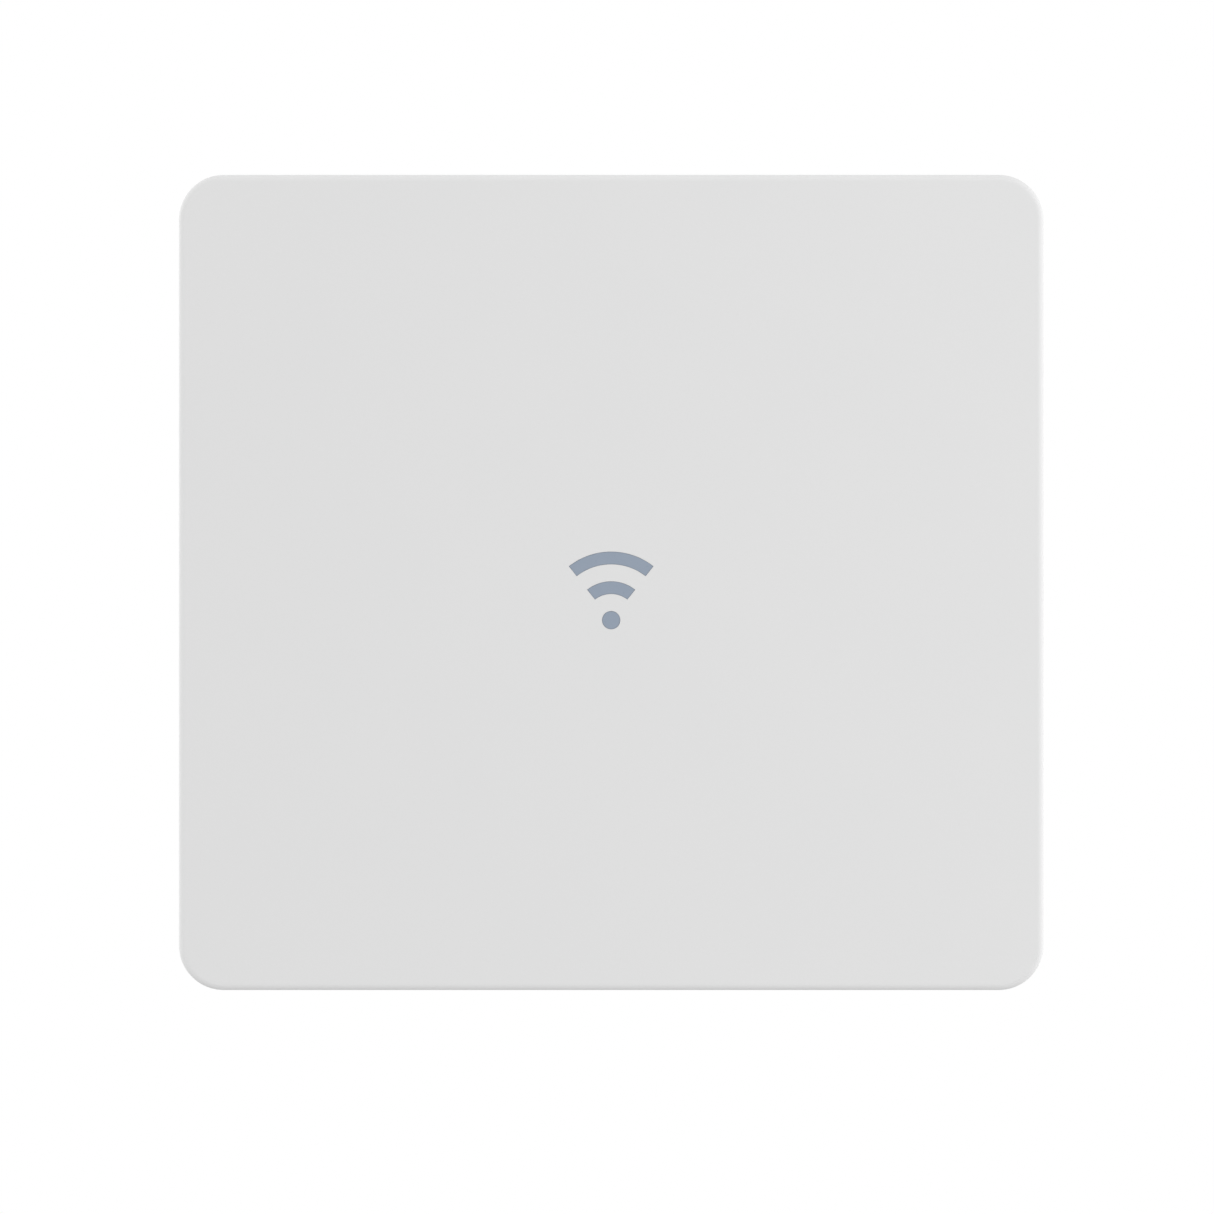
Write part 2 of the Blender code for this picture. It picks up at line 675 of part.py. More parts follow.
def make_housing(parent):
    housing = extruded("housing", body_outline(0), SEAM_Z, BACK_Z)
    round_edge_at(housing, BACK_Z, BACK_EDGE_RADIUS)
    lip_low = SEAM_Z - LIP_LENGTH
    inside_wall = body_outline(HOUSING_WALL)
    join(housing, extruded("lip", inside_wall, lip_low, SEAM_Z + ROOT_DEPTH))
    ledge_z = SEAM_Z + LEDGE_DEPTH
    inside_lip = body_outline(HOUSING_WALL + LIP_WALL)
    lower_pocket = extruded("lower pocket", inside_lip, lip_low - MM, ledge_z + MM)
    upper_pocket = extruded("upper pocket", inside_wall, ledge_z, BASE_Z)
    cut(housing, lower_pocket, upper_pocket)

    root_z = BASE_Z + ROOT_DEPTH
    grown = [make_fins()]
    bay_x = BAY_HALF_X + BAY_WALL
    bay_low = (-bay_x, JACK_WALL_Y - BAY_WALL, BAY_FLOOR_Z - BAY_WALL)
    bay_high = (bay_x, BAY_END_Y + BAY_WALL, root_z)
    grown.append(block("bay", bay_low, bay_high))
    sill_x = NOTCH_WIDTH / 2 + BAY_WALL
    sill_low = (-sill_x, BAY_END_Y + BAY_WALL / 2, SEAM_Z + ROOT_DEPTH / 2)
    sill_high = (sill_x, HALF_Y - HOUSING_WALL / 2, root_z)
    grown.append(block("sill", sill_low, sill_high))
    for x, y in SCREW_PLACES:
        grown.append(rod("screw boss", (x, y), SCREW_BOSS_RADIUS, HOUSING_BOSS_Z, root_z))
    for side_x, side_y in CORNERS:
        stud = (side_x * STUD_X, side_y * STUD_Y)
        low = BACK_Z - ROOT_DEPTH
        boss_foot = STUD_BOSS_RADIUS + MM
        grown.append(
            rod("stud boss", stud, boss_foot, low, STUD_BOSS_Z, end_radius=STUD_BOSS_RADIUS)
        )
        hole = (side_x * BOARD_HOLE_X, side_y * BOARD_HOLE_Y)
        grown.append(rod("board boss", hole, BOARD_BOSS_RADIUS, PART_Z, root_z))
    grown.append(pedestal(PROCESSOR_AT, PROCESSOR, PART_Z + PROCESSOR[2]))
    grown.append(pedestal(LOW_SHIELD_AT, SHIELD, PART_Z + SHIELD[2]))
    grown.append(pedestal(HIGH_SHIELD_AT, SHIELD, PART_Z + SHIELD[2]))
    pad_half = LATCH_WIDTH / 2 + MM
    latch_pad_z = BACK_Z + LATCH_PAD_HEIGHT
    latch_low = (LATCH_BAR_X + SLIDE_AIR, LATCH_Y - pad_half, BACK_Z - ROOT_DEPTH)
    latch_high = (LATCH_END_X - LATCH_EDGE_INSET / 2, LATCH_Y + pad_half, latch_pad_z)
    post_half = LATCH_WIDTH / 2 - LATCH_RAIL - GAP * 2
    post_low = (POST_X, LATCH_Y - post_half, latch_pad_z - ROOT_DEPTH)
    post_high = (POST_X + POST_LENGTH, LATCH_Y + post_half, LATCH_TOP_Z)
    grown.append(block("latch pad", latch_low, latch_high))
    join(housing, *grown)
    join(housing, block("spring post", post_low, post_high))

    above = FIN_TOP_Z + MM
    bay_inside_low = (-BAY_HALF_X, JACK_WALL_Y, BAY_FLOOR_Z)
    bay_inside_high = (BAY_HALF_X, BAY_END_Y, above)
    cut(housing, block("bay inside", bay_inside_low, bay_inside_high))
    notch_low = (-NOTCH_WIDTH / 2, BAY_END_Y - MM, BACK_Z - NOTCH_DEPTH)
    notch_high = (NOTCH_WIDTH / 2, HALF_Y + MM, above)
    cut_away = [block("cable notch", notch_low, notch_high)]
    wall_low, wall_high = JACK_WALL_Y - BAY_WALL - MM, JACK_WALL_Y + MM
    for x in (MAIN_JACK_X, SECOND_JACK_X):
        half = JACK_WIDTH / 2 + AIR / 2
        low = (x - half, wall_low, PART_Z - GAP)
        high = (x + half, wall_high, JACK_TOP_Z + AIR / 2)
        cut_away.append(block("jack window", low, high))
    half = POWER_INLET_WIDTH / 2 + AIR / 2
    low = (POWER_INLET_X - half, wall_low, PART_Z - GAP)
    high = (POWER_INLET_X + half, wall_high, PART_Z + POWER_INLET_HEIGHT + AIR / 2)
    cut_away.append(block("power window", low, high))
    reset_hole = (RESET_X, PART_Z + RESET_ABOVE_BOARD)
    cut_away.append(
        rod("reset hole", reset_hole, RESET_RADIUS + GAP, wall_low, wall_high, "Y", 16)
    )
    ground_hole = (GROUND_X, PART_Z + GROUND_ABOVE_BOARD)
    cut_away.append(
        rod("ground hole", ground_hole, GROUND_RADIUS + GAP, wall_low, wall_high, "Y", 16)
    )
    for x, y in SCREW_PLACES:
        head = SCREW_HEAD_RADIUS + AIR
        cut_away.append(rod("screw recess", (x, y), head, BASE_Z, above, sides=20))
    for side_x, side_y in CORNERS:
        stud = (side_x * STUD_X, side_y * STUD_Y)
        thread_low = STUD_BOSS_Z - GAP - STUD_THREAD_LENGTH - GAP
        radius = STUD_THREAD_RADIUS + GAP
        cut_away.append(rod("stud hole", stud, radius, thread_low, above, sides=16))
        hole = (side_x * BOARD_HOLE_X, side_y * BOARD_HOLE_Y)
        thread_top = SPACER_TOP_Z + SPACER_THREAD_LENGTH + GAP
        radius = SPACER_THREAD_RADIUS + GAP
        cut_away.append(rod("board hole", hole, radius, PART_Z - MM, thread_top, sides=16))
    for side in (1, -1):
        foot_y = LATCH_Y + side * (LATCH_WIDTH / 2 + LATCH_COVER_SIDE)
        low_y, high_y = sorted((foot_y, foot_y + side * LATCH_COVER_SHEET))
        low = (latch_cover_start() - GAP, low_y - GAP, BACK_Z - LATCH_COVER_FOOT - GAP)
        high = (latch_cover_start() + LATCH_COVER_LENGTH + GAP, high_y + GAP, BACK_Z + MM)
        cut_away.append(block("latch cover slot", low, high))
    lock_z = (BACK_Z + SEAM_Z) / 2 + BACK_EDGE_RADIUS / 4
    lock_x = HALF_X - HOUSING_WALL - MM
    half = LOCK_SLOT_LENGTH / 2
    low = (lock_x, LOCK_SLOT_Y - half, lock_z - LOCK_SLOT_HEIGHT)
    high = (HALF_X + MM, LOCK_SLOT_Y + half, lock_z)
    cut_away.append(block("lock slot", low, high))
    cut(housing, *cut_away)
    hole_radius = SCREW_SHANK_RADIUS + GAP
    shafts = [
        rod("screw hole", place, hole_radius, HOUSING_BOSS_Z - MM, BASE_Z + MM, sides=16)
        for place in SCREW_PLACES
    ]
    cut(housing, *shafts)
    keep(housing, "rear_housing", HOUSING_PAINT, parent)


# Front cover and status light


def wave(radius, stroke, grow=0.0):
    """The outline of one arc of the mark, round its dot, with square ends, opening away from +Y."""
    dot_x, dot_y = LIGHT_CENTRE[0], LIGHT_CENTRE[1] + MARK_DOT_BELOW
    half = stroke / 2 + grow
    spread = math.radians(MARK_HALF_ANGLE) + grow / radius
    angles = [
        -math.pi / 2 - spread + 2 * spread * step / MARK_ARC_STEPS
        for step in range(MARK_ARC_STEPS + 1)
    ]
    outline = []
    for reach, order in ((radius + half, angles), (radius - half, angles[::-1])):
        outline += [(dot_x + reach * math.cos(a), dot_y + reach * math.sin(a)) for a in order]
    return outline


def mark_shapes(low, high, grow=0.0):
    """The dot and waves of the mark as solids, made larger all round by grow."""
    dot = (LIGHT_CENTRE[0], LIGHT_CENTRE[1] + MARK_DOT_BELOW)
    shapes = [rod("mark dot", dot, MARK_DOT_RADIUS + grow, low, high, sides=24)]
    for radius in MARK_RADII:
        shapes.append(extruded("mark wave", wave(radius, MARK_STROKE, grow), low, high))
    return shapes


def stake_places():
    return [
        (LIGHT_CENTRE[0] + x * STAKE_X, LIGHT_CENTRE[1] + y * STAKE_Y) for x, y in CORNERS
    ]


def make_cover(parent):
    cover = extruded("cover", body_outline(0), FACE_Z, COVER_TOP_Z)
    round_edge_at(cover, FACE_Z, FACE_EDGE_RADIUS)
    inside = extruded("cover inside", body_outline(COVER_WALL), FACE_INSIDE_Z, COVER_TOP_Z + MM)
    cut(cover, inside)
    root = FACE_INSIDE_Z - ROOT_DEPTH
    bosses = [
        rod("cover boss", place, SCREW_BOSS_RADIUS, root, COVER_BOSS_Z) for place in SCREW_PLACES
    ]
    stakes = [
        rod("stake", place, STAKE_RADIUS, root, FACE_INSIDE_Z + STAKE_HEIGHT, sides=12)
        for place in stake_places()
    ]
    join(cover, *bosses, *stakes)
    hole_low = BASE_Z - SCREW_LENGTH - GAP
    holes = [
        rod("cover hole", place, SCREW_SHANK_RADIUS + GAP, hole_low, COVER_BOSS_Z + MM, sides=16)
        for place in SCREW_PLACES
    ]
    cut(cover, *holes, *mark_shapes(FACE_Z - MM, FACE_INSIDE_Z + MM, GAP))
    keep(cover, "front_cover", COVER_WHITE, parent)


def make_light_guide(parent):
    half_x, half_y = GUIDE_BASE[0] / 2, GUIDE_BASE[1] / 2
    x, y = LIGHT_CENTRE
    high_z = GUIDE_LOW_Z + GUIDE_BASE[2]
    low = (x - half_x, y - half_y, GUIDE_LOW_Z)
    guide = block("guide", low, (x + half_x, y + half_y, high_z))
    join(guide, *mark_shapes(FACE_Z, GUIDE_LOW_Z + ROOT_DEPTH))
    radius = STAKE_RADIUS + GAP
    holes = [
        rod("stake hole", place, radius, GUIDE_LOW_Z - MM, high_z + MM, sides=12)
        for place in stake_places()
    ]
    cut(guide, *holes)
    keep(guide, "status_light_guide", LIGHT_GREY, parent)


def make_led_board(parent):
    x, y = LIGHT_CENTRE
    half_x, half_y = LED_BOARD[0] / 2, LED_BOARD[1] / 2
    low_z = LED_BOARD_LOW_Z
    high = (x + half_x, y + half_y, low_z + LED_BOARD[2])
    board = block("led board", (x - half_x, y - half_y, low_z), high)
    feet = []
    for side in (1, -1):
        place = (x + side * (half_x - 4 * MM), y)
        feet.append(rod("led foot", place, 2 * MM, low_z + GAP, UNDER_PLATE_Z, sides=16))
    join(board, *feet)
    keep(board, "led_board", BOARD_GREEN, parent)
    low = (x - LED[0] / 2, y - LED[1] / 2, LED_LOW_Z)
    high = (x + LED[0] / 2, y + LED[1] / 2, LED_LOW_Z + LED[2])
    keep(block("led", low, high), "status_led", LED_WHITE, parent)


# Fasteners


def make_housing_screws(parent):
    head_top = BASE_Z + GAP + SCREW_HEAD_HEIGHT
    screw = turned(
        "screw",
        (
            (0, head_top),
            (SCREW_HEAD_RADIUS * 0.75, head_top),
            (SCREW_HEAD_RADIUS, head_top - SCREW_HEAD_HEIGHT * 0.4),
            (SCREW_HEAD_RADIUS, head_top - SCREW_HEAD_HEIGHT),
            (SCREW_SHANK_RADIUS, head_top - SCREW_HEAD_HEIGHT),
            (SCREW_SHANK_RADIUS, BASE_Z - SCREW_LENGTH + SCREW_SHANK_RADIUS),
            (0, BASE_Z - SCREW_LENGTH),
        ),
        16,
    )
    socket_low = head_top - SCREW_HEAD_HEIGHT * 0.6
    cut(screw, rod("socket", (0, 0), SCREW_SOCKET_RADIUS, socket_low, head_top + MM, sides=6))
    keep_copies(screw, "housing_screw", ZINC, parent, SCREW_PLACES)


def make_studs(parent):
    head_low = FLANGE_TOP_Z + GAP
    head_top = head_low + STUD_HEAD_HEIGHT
    shoulder = STUD_BOSS_Z + GAP
    stud = turned(
        "stud",
        (
            (0, head_top),
            (STUD_HEAD_RADIUS - MM / 2, head_top),
            (STUD_HEAD_RADIUS, head_top - MM / 2),
            (STUD_HEAD_RADIUS, head_low),
            (STUD_SHANK_RADIUS, head_low),
            (STUD_SHANK_RADIUS, shoulder),
            (STUD_THREAD_RADIUS, shoulder),
            (STUD_THREAD_RADIUS, shoulder - STUD_THREAD_LENGTH - GAP),
            (0, shoulder - STUD_THREAD_LENGTH - GAP),
        ),
    )
    places = [(x * STUD_X, y * STUD_Y) for x, y in CORNERS]
    keep_copies(stud, "mounting_stud", ZINC, parent, places)


def make_spacers(parent):
    across_corners = SPACER_ACROSS / math.sqrt(3)
    spacer = rod("spacer", (0, 0), across_corners, SPACER_LOW_Z, SPACER_TOP_Z, sides=6)
    thread_low = SPACER_TOP_Z - ROOT_DEPTH
    thread_top = SPACER_TOP_Z + SPACER_THREAD_LENGTH
    join(spacer, rod("thread", (0, 0), SPACER_THREAD_RADIUS, thread_low, thread_top, sides=12))
    hole_top = UNDER_PLATE_Z + PLATE_SCREW_LENGTH + GAP
    hole_radius = PLATE_SCREW_RADIUS + GAP
    cut(spacer, rod("screw hole", (0, 0), hole_radius, SPACER_LOW_Z - MM, hole_top, sides=12))
    places = [(x * BOARD_HOLE_X, y * BOARD_HOLE_Y) for x, y in CORNERS]
    keep_copies(spacer, "board_standoff", ZINC, parent, places)
    tip = UNDER_PLATE_Z + PLATE_SCREW_LENGTH
    screw = turned(
        "plate screw",
        (
            (0, tip),
            (PLATE_SCREW_RADIUS, tip),
            (PLATE_SCREW_RADIUS, UNDER_PLATE_Z),
            (PLATE_SCREW_HEAD_RADIUS, UNDER_PLATE_Z),
            (PLATE_SCREW_HEAD_RADIUS, UNDER_PLATE_Z - PLATE_SCREW_HEAD_HEIGHT * 0.6),
            (PLATE_SCREW_HEAD_RADIUS * 0.7, UNDER_PLATE_Z - PLATE_SCREW_HEAD_HEIGHT),
            (0, UNDER_PLATE_Z - PLATE_SCREW_HEAD_HEIGHT),
        ),
        12,
    )
    keep_copies(screw, "plate_screw", ZINC, parent, places)


def make_ground_screw(parent):
    head_low = GAP
    head_top = head_low + GROUND_HEAD_HEIGHT
    screw = turned(
        "ground screw",
        (
            (0, head_top),
            (GROUND_HEAD_RADIUS * 0.8, head_top),
            (GROUND_HEAD_RADIUS, head_top - GROUND_HEAD_HEIGHT * 0.35),
            (GROUND_HEAD_RADIUS, head_low),
            (GROUND_RADIUS, head_low),
            (GROUND_RADIUS, -GROUND_LENGTH),
            (0, -GROUND_LENGTH),
        ),
        16,
    )
    slot_low = (-GROUND_HEAD_RADIUS - MM, -0.4 * MM, head_top - MM)
    slot_high = (GROUND_HEAD_RADIUS + MM, 0.4 * MM, head_top + MM)
    cut(screw, block("slot", slot_low, slot_high))
    screw = baked(screw)
    screw.data.transform(Matrix.Rotation(-math.pi / 2, 4, "X"))
    screw.location = (GROUND_X, JACK_WALL_Y, PART_Z + GROUND_ABOVE_BOARD)
    keep(screw, "ground_screw", ZINC, parent)


# Main board and what stands on it


def board_outline(notched):
    """The board's outline, with a notch round the port bay where asked."""
    outline = rounded(BOARD_HALF_X, BOARD_HALF_Y, BOARD_CORNER, 3)
    if not notched:
        return outline
    half = BAY_HALF_X + BAY_WALL + AIR
    deep = JACK_WALL_Y - BAY_WALL - AIR
    notch = [(half, BOARD_HALF_Y), (half, deep), (-half, deep), (-half, BOARD_HALF_Y)]
    corner_points = len(outline) // 4
    return outline[:corner_points] + notch + outline[corner_points:]


def make_main_board(parent):
    radius = SPACER_THREAD_RADIUS + THREAD_AIR
    holes = [circle(x * BOARD_HOLE_X, y * BOARD_HOLE_Y, radius, 12) for x, y in CORNERS]
    board = extruded("board", board_outline(True), BOARD_LOW_Z, BOARD_TOP_Z, holes)
    keep(board, "main_board", BOARD_GREEN, parent)


def on_board(name, place, size, material, parent, lift=0.0, margin=0.0):
    """A plain package on the board, or lifted by what it lies on."""
    half_x, half_y = size[0] / 2 - margin, size[1] / 2 - margin
    low = (place[0] - half_x, place[1] - half_y, PART_Z + lift)
    high = (place[0] + half_x, place[1] + half_y, PART_Z + lift + size[2])
    keep(block(name, low, high), name, material, parent)


def make_shield(name, place, parent):
    """An open can of thin sheet over one radio."""
    half_x, half_y = SHIELD[0] / 2, SHIELD[1] / 2
    bm = bmesh.new()
    low = (place[0] - half_x, place[1] - half_y, PART_Z)
    high = (place[0] + half_x, place[1] + half_y, PART_Z + SHIELD[2])
    add_block(bm, low, high)
    bottom = [f for f in bm.faces if all(v.co.z < PART_Z + MM for v in f.verts)]
    bmesh.ops.delete(bm, geom=bottom, context="FACES_ONLY")
    can = from_bmesh(name, bm)
    solidify = can.modifiers.new("Sheet", "SOLIDIFY")
    solidify.thickness = SHIELD_SHEET
    solidify.offset = -1
    solidify.use_even_offset = True
    keep(can, name, TINPLATE, parent)


def make_chips(parent):
    on_board("processor_package", PROCESSOR_AT, PROCESSOR, CHIP_BLACK, parent)
    for number, y in enumerate(MEMORY_Y, 1):
        on_board(f"memory_package_{number}", (MEMORY_X, y), MEMORY, CHIP_BLACK, parent)
    make_shield("rf_shield_low_band", LOW_SHIELD_AT, parent)
    make_shield("rf_shield_high_band", HIGH_SHIELD_AT, parent)
    covered = ((PROCESSOR_AT, PROCESSOR), (LOW_SHIELD_AT, SHIELD), (HIGH_SHIELD_AT, SHIELD))
    for number, (place, size) in enumerate(covered, 1):
        pad = (size[0], size[1], PAD_THICKNESS)
        lift = size[2] + GAP
        on_board(f"thermal_pad_{number}", place, pad, THERMAL_GREY, parent, lift, PAD_MARGIN)
    on_board("power_transformer", TRANSFORMER_AT, TRANSFORMER, CHIP_BLACK, parent)
    on_board("power_inductor", INDUCTOR_AT, INDUCTOR, CHIP_BLACK, parent)
    can = turned(
        "capacitor",
        (
            (0, PART_Z + CAPACITOR_HEIGHT),
            (CAPACITOR_RADIUS - MM / 2, PART_Z + CAPACITOR_HEIGHT),
            (CAPACITOR_RADIUS, PART_Z + CAPACITOR_HEIGHT - MM / 2),
            (CAPACITOR_RADIUS, PART_Z + 3 * MM),
            (CAPACITOR_RADIUS - MM / 2, PART_Z + 2.5 * MM),
            (CAPACITOR_RADIUS, PART_Z + 2 * MM),
            (CAPACITOR_RADIUS, PART_Z),
            (0, PART_Z),
        ),
    )
    can.location = Vector(CAPACITOR_AT).to_3d()
    keep(can, "power_capacitor", TINPLATE, parent)


def make_ethernet_jack(name, x, parent):
    low = (x - JACK_WIDTH / 2, JACK_FRONT_Y - JACK_LENGTH, PART_Z)
    high = (x + JACK_WIDTH / 2, JACK_FRONT_Y, JACK_TOP_Z)
    jack = block(name, low, high)
    floor_z = PART_Z + MOUTH_FLOOR
    back_y = JACK_FRONT_Y - MOUTH_DEPTH
    mouth = block(
        "mouth",
        (x - MOUTH_WIDTH / 2, back_y, floor_z),
        (x + MOUTH_WIDTH / 2, JACK_FRONT_Y + MM, floor_z + MOUTH_HEIGHT),
    )
    keyway = block(
        "keyway",
        (x - KEYWAY_WIDTH / 2, back_y, floor_z - KEYWAY_HEIGHT),
        (x + KEYWAY_WIDTH / 2, JACK_FRONT_Y + MM, floor_z + MM),
    )
    cut(jack, mouth, keyway)
    keep(jack, name, TINPLATE, parent)
    make_contacts(name.replace("ethernet_jack", "jack_contacts"), x, back_y, floor_z, parent)


def make_contacts(name, x, back_y, floor_z, parent):
    """Eight sprung wires that lean down from a bar at the back of a jack's mouth."""
    top_z = floor_z + MOUTH_HEIGHT - GAP
    bar_y = back_y + GAP
    half = MOUTH_WIDTH / 2 - MM
    comb = block(name, (x - half, bar_y, top_z - 2 * MM), (x + half, bar_y + 2 * MM, top_z))
    reach, drop = 8 * MM, 1.8 * MM
    bm = bmesh.new()
    for number in range(CONTACT_COUNT):
        wire_x = x + (number - (CONTACT_COUNT - 1) / 2) * CONTACT_PITCH
        before = len(bm.verts)
        low = (wire_x - CONTACT_WIRE / 2, bar_y + MM, top_z - MM)
        add_block(bm, low, (wire_x + CONTACT_WIRE / 2, bar_y + reach, top_z - MM / 2))
        bm.verts.ensure_lookup_table()
        for vert in bm.verts[before:]:
            if vert.co.y > bar_y + 2 * MM:
                vert.co.z -= drop
    join(comb, from_bmesh("contact wires", bm))
    keep(comb, name, GOLD, parent)


def make_power_inlet(parent):
    x, half = POWER_INLET_X, POWER_INLET_WIDTH / 2
    low = (x - half, JACK_FRONT_Y - POWER_INLET_LENGTH, PART_Z)
    inlet = block("inlet", low, (x + half, JACK_FRONT_Y, PART_Z + POWER_INLET_HEIGHT))
    centre = (x, PART_Z + POWER_INLET_HEIGHT / 2)
    bore_y = JACK_FRONT_Y - POWER_BORE_DEPTH
    cut(inlet, rod("bore", centre, POWER_BORE_RADIUS, bore_y, JACK_FRONT_Y + MM, "Y"))
    pin_high = JACK_FRONT_Y - MM
    join(inlet, rod("pin", centre, POWER_PIN_RADIUS, bore_y - MM, pin_high, "Y", 12))
    keep(inlet, "dc_power_inlet", CHIP_BLACK, parent)


def make_reset(parent):
    height = PART_Z + RESET_ABOVE_BOARD
    wall_back = JACK_WALL_Y - BAY_WALL
    flange_y = wall_back - GAP
    flange_back_y = flange_y - RESET_FLANGE
    button_front_y = JACK_WALL_Y + RESET_PROUD
    place = (RESET_X, height)
    button = rod("button", place, RESET_RADIUS, flange_y - MM / 2, button_front_y, "Y", 16)
    join(button, rod("flange", place, RESET_FLANGE_RADIUS, flange_back_y, flange_y, "Y", 16))
    button = with_origin_at(baked(button), (RESET_X, JACK_WALL_Y, height))
    keep(button, "reset_button", BUTTON_GREY, parent)
    front_y = flange_back_y - RESET_TRAVEL - GAP
    half = RESET_SWITCH / 2
    low = (RESET_X - half, front_y - RESET_SWITCH, PART_Z)
    switch = block("switch", low, (RESET_X + half, front_y - MM, PART_Z + RESET_SWITCH))
    join(switch, rod("plunger", place, RESET_RADIUS, front_y - 2 * MM, front_y, "Y", 16))
    keep(switch, "reset_switch", CHIP_BLACK, parent)


# Antennas


def make_antenna_plate(parent):
    screw_radius = PLATE_SCREW_RADIUS + THREAD_AIR
    holes = [circle(x * BOARD_HOLE_X, y * BOARD_HOLE_Y, screw_radius, 12) for x, y in CORNERS]
    holes += [circle(x * PATCH_X, y * PATCH_Y, COAX_HOLE_RADIUS, 12) for x, y in CORNERS]
    plate = extruded("plate", board_outline(False), PLATE_LOW_Z, PLATE_TOP_Z, holes)
    keep(plate, "antenna_plate", TINPLATE, parent)


def make_patches(parent):
    half, snip = PATCH_SIZE / 2, PATCH_CORNER_CUT
    outline = [
        (half, half - snip),
        (half - snip, half),
        (-half, half),
        (-half, snip - half),
        (snip - half, -half),
        (half, -half),
    ]
    low_z = UNDER_PLATE_Z - PATCH_RISE - PATCH_SHEET
    patch = extruded("patch", outline, low_z, low_z + PATCH_SHEET)
    legs = []
    for side in (1, -1):
        x, leg = side * (half - PATCH_LEG_INSET), PATCH_LEG / 2
        low = (x - leg, -leg, low_z + PATCH_SHEET / 2)
        legs.append(block("patch leg", low, (x + leg, leg, UNDER_PLATE_Z)))
    join(patch, *legs)
    places = [(x * PATCH_X, y * PATCH_Y) for x, y in CORNERS]
    keep_copies(patch, "patch_antenna", COPPER, parent, places)


def make_side_antennas(parent):
    """A bent strip that stands on the plate near the middle of each side."""
    top, low = UNDER_PLATE_Z, UNDER_PLATE_Z - SIDE_ANTENNA_RISE
    sheet, half = SIDE_ANTENNA_SHEET, SIDE_ANTENNA_WIDTH / 2
    strip = block("strip", (0, -half, top - sheet), (SIDE_ANTENNA_FOOT, half, top))
    riser = block("riser", (0, -half, low - sheet / 2), (sheet, half, top - sheet / 2))
    arm_low = (sheet / 2 - SIDE_ANTENNA_ARM, -half + MM, low - sheet)
    arm = block("arm", arm_low, (sheet / 2, half - MM, low))
    join(strip, riser, arm)
    reach_x = BOARD_HALF_X - SIDE_ANTENNA_INSET
    reach_y = BOARD_HALF_Y - SIDE_ANTENNA_INSET
    places = [(reach_x, 0), (0, reach_y), (-reach_x, 0), (0, -reach_y)]
    turns = [number * math.pi / 2 for number in range(4)]
    keep_copies(strip, "side_antenna", COPPER, parent, places, turns)


def smooth_route(points, spacing):
    """Points about spacing apart along a smooth curve through the given ones."""
    points = [Vector(p) for p in points]
    ends = [2 * points[0] - points[1], *points, 2 * points[-1] - points[-2]]
    route = []
    for before, start, end, after in zip(ends, ends[1:], ends[2:], ends[3:]):
        count = max(1, round((end - start).length / spacing))
        for step in range(count):
            t = step / count
            slope_in, slope_out = (end - before) / 2, (after - start) / 2
            a = start * (2 * t**3 - 3 * t**2 + 1) + end * (3 * t**2 - 2 * t**3)
            b = slope_in * (t**3 - 2 * t**2 + t) + slope_out * (t**3 - t**2)
            route.append(a + b)
    return [*route, points[-1]]


def make_coax(parent):
    """A lead from under the board, across the plate and down its hole to each patch."""
    start_z = BOARD_LOW_Z - GAP
    end_z = UNDER_PLATE_Z - PATCH_RISE + GAP
    middle_z = (BOARD_LOW_Z + PLATE_TOP_Z) / 2
    for number, (side_x, side_y) in enumerate(CORNERS, 1):
        route = (
            (side_x * 24 * MM, side_y * 14 * MM, start_z),
            (side_x * 24 * MM, side_y * 14 * MM, start_z - MM),
            (side_x * 25 * MM, side_y * 15 * MM, middle_z + 0.4 * MM),
            (side_x * 30 * MM, side_y * 21 * MM, middle_z - 0.6 * MM),
            (side_x * 42 * MM, side_y * 40 * MM, middle_z - 1.2 * MM),
            (side_x * (PATCH_X - 5 * MM), side_y * (PATCH_Y - 2 * MM), middle_z - MM),
            (side_x * (PATCH_X - MM), side_y * PATCH_Y, middle_z - 2 * MM),
            (side_x * PATCH_X, side_y * PATCH_Y, PLATE_TOP_Z),
            (side_x * PATCH_X, side_y * PATCH_Y, PLATE_LOW_Z - MM),
            (side_x * PATCH_X, side_y * PATCH_Y, end_z),
        )
        lead = wire("coax", smooth_route(route, COAX_POINT_SPACING), COAX_RADIUS)
        keep(lead, f"coax_lead_{number}", COAX_GREY, parent)


# Release latch


def latch_cover_start():
    return SPRING_X - LATCH_TRAVEL


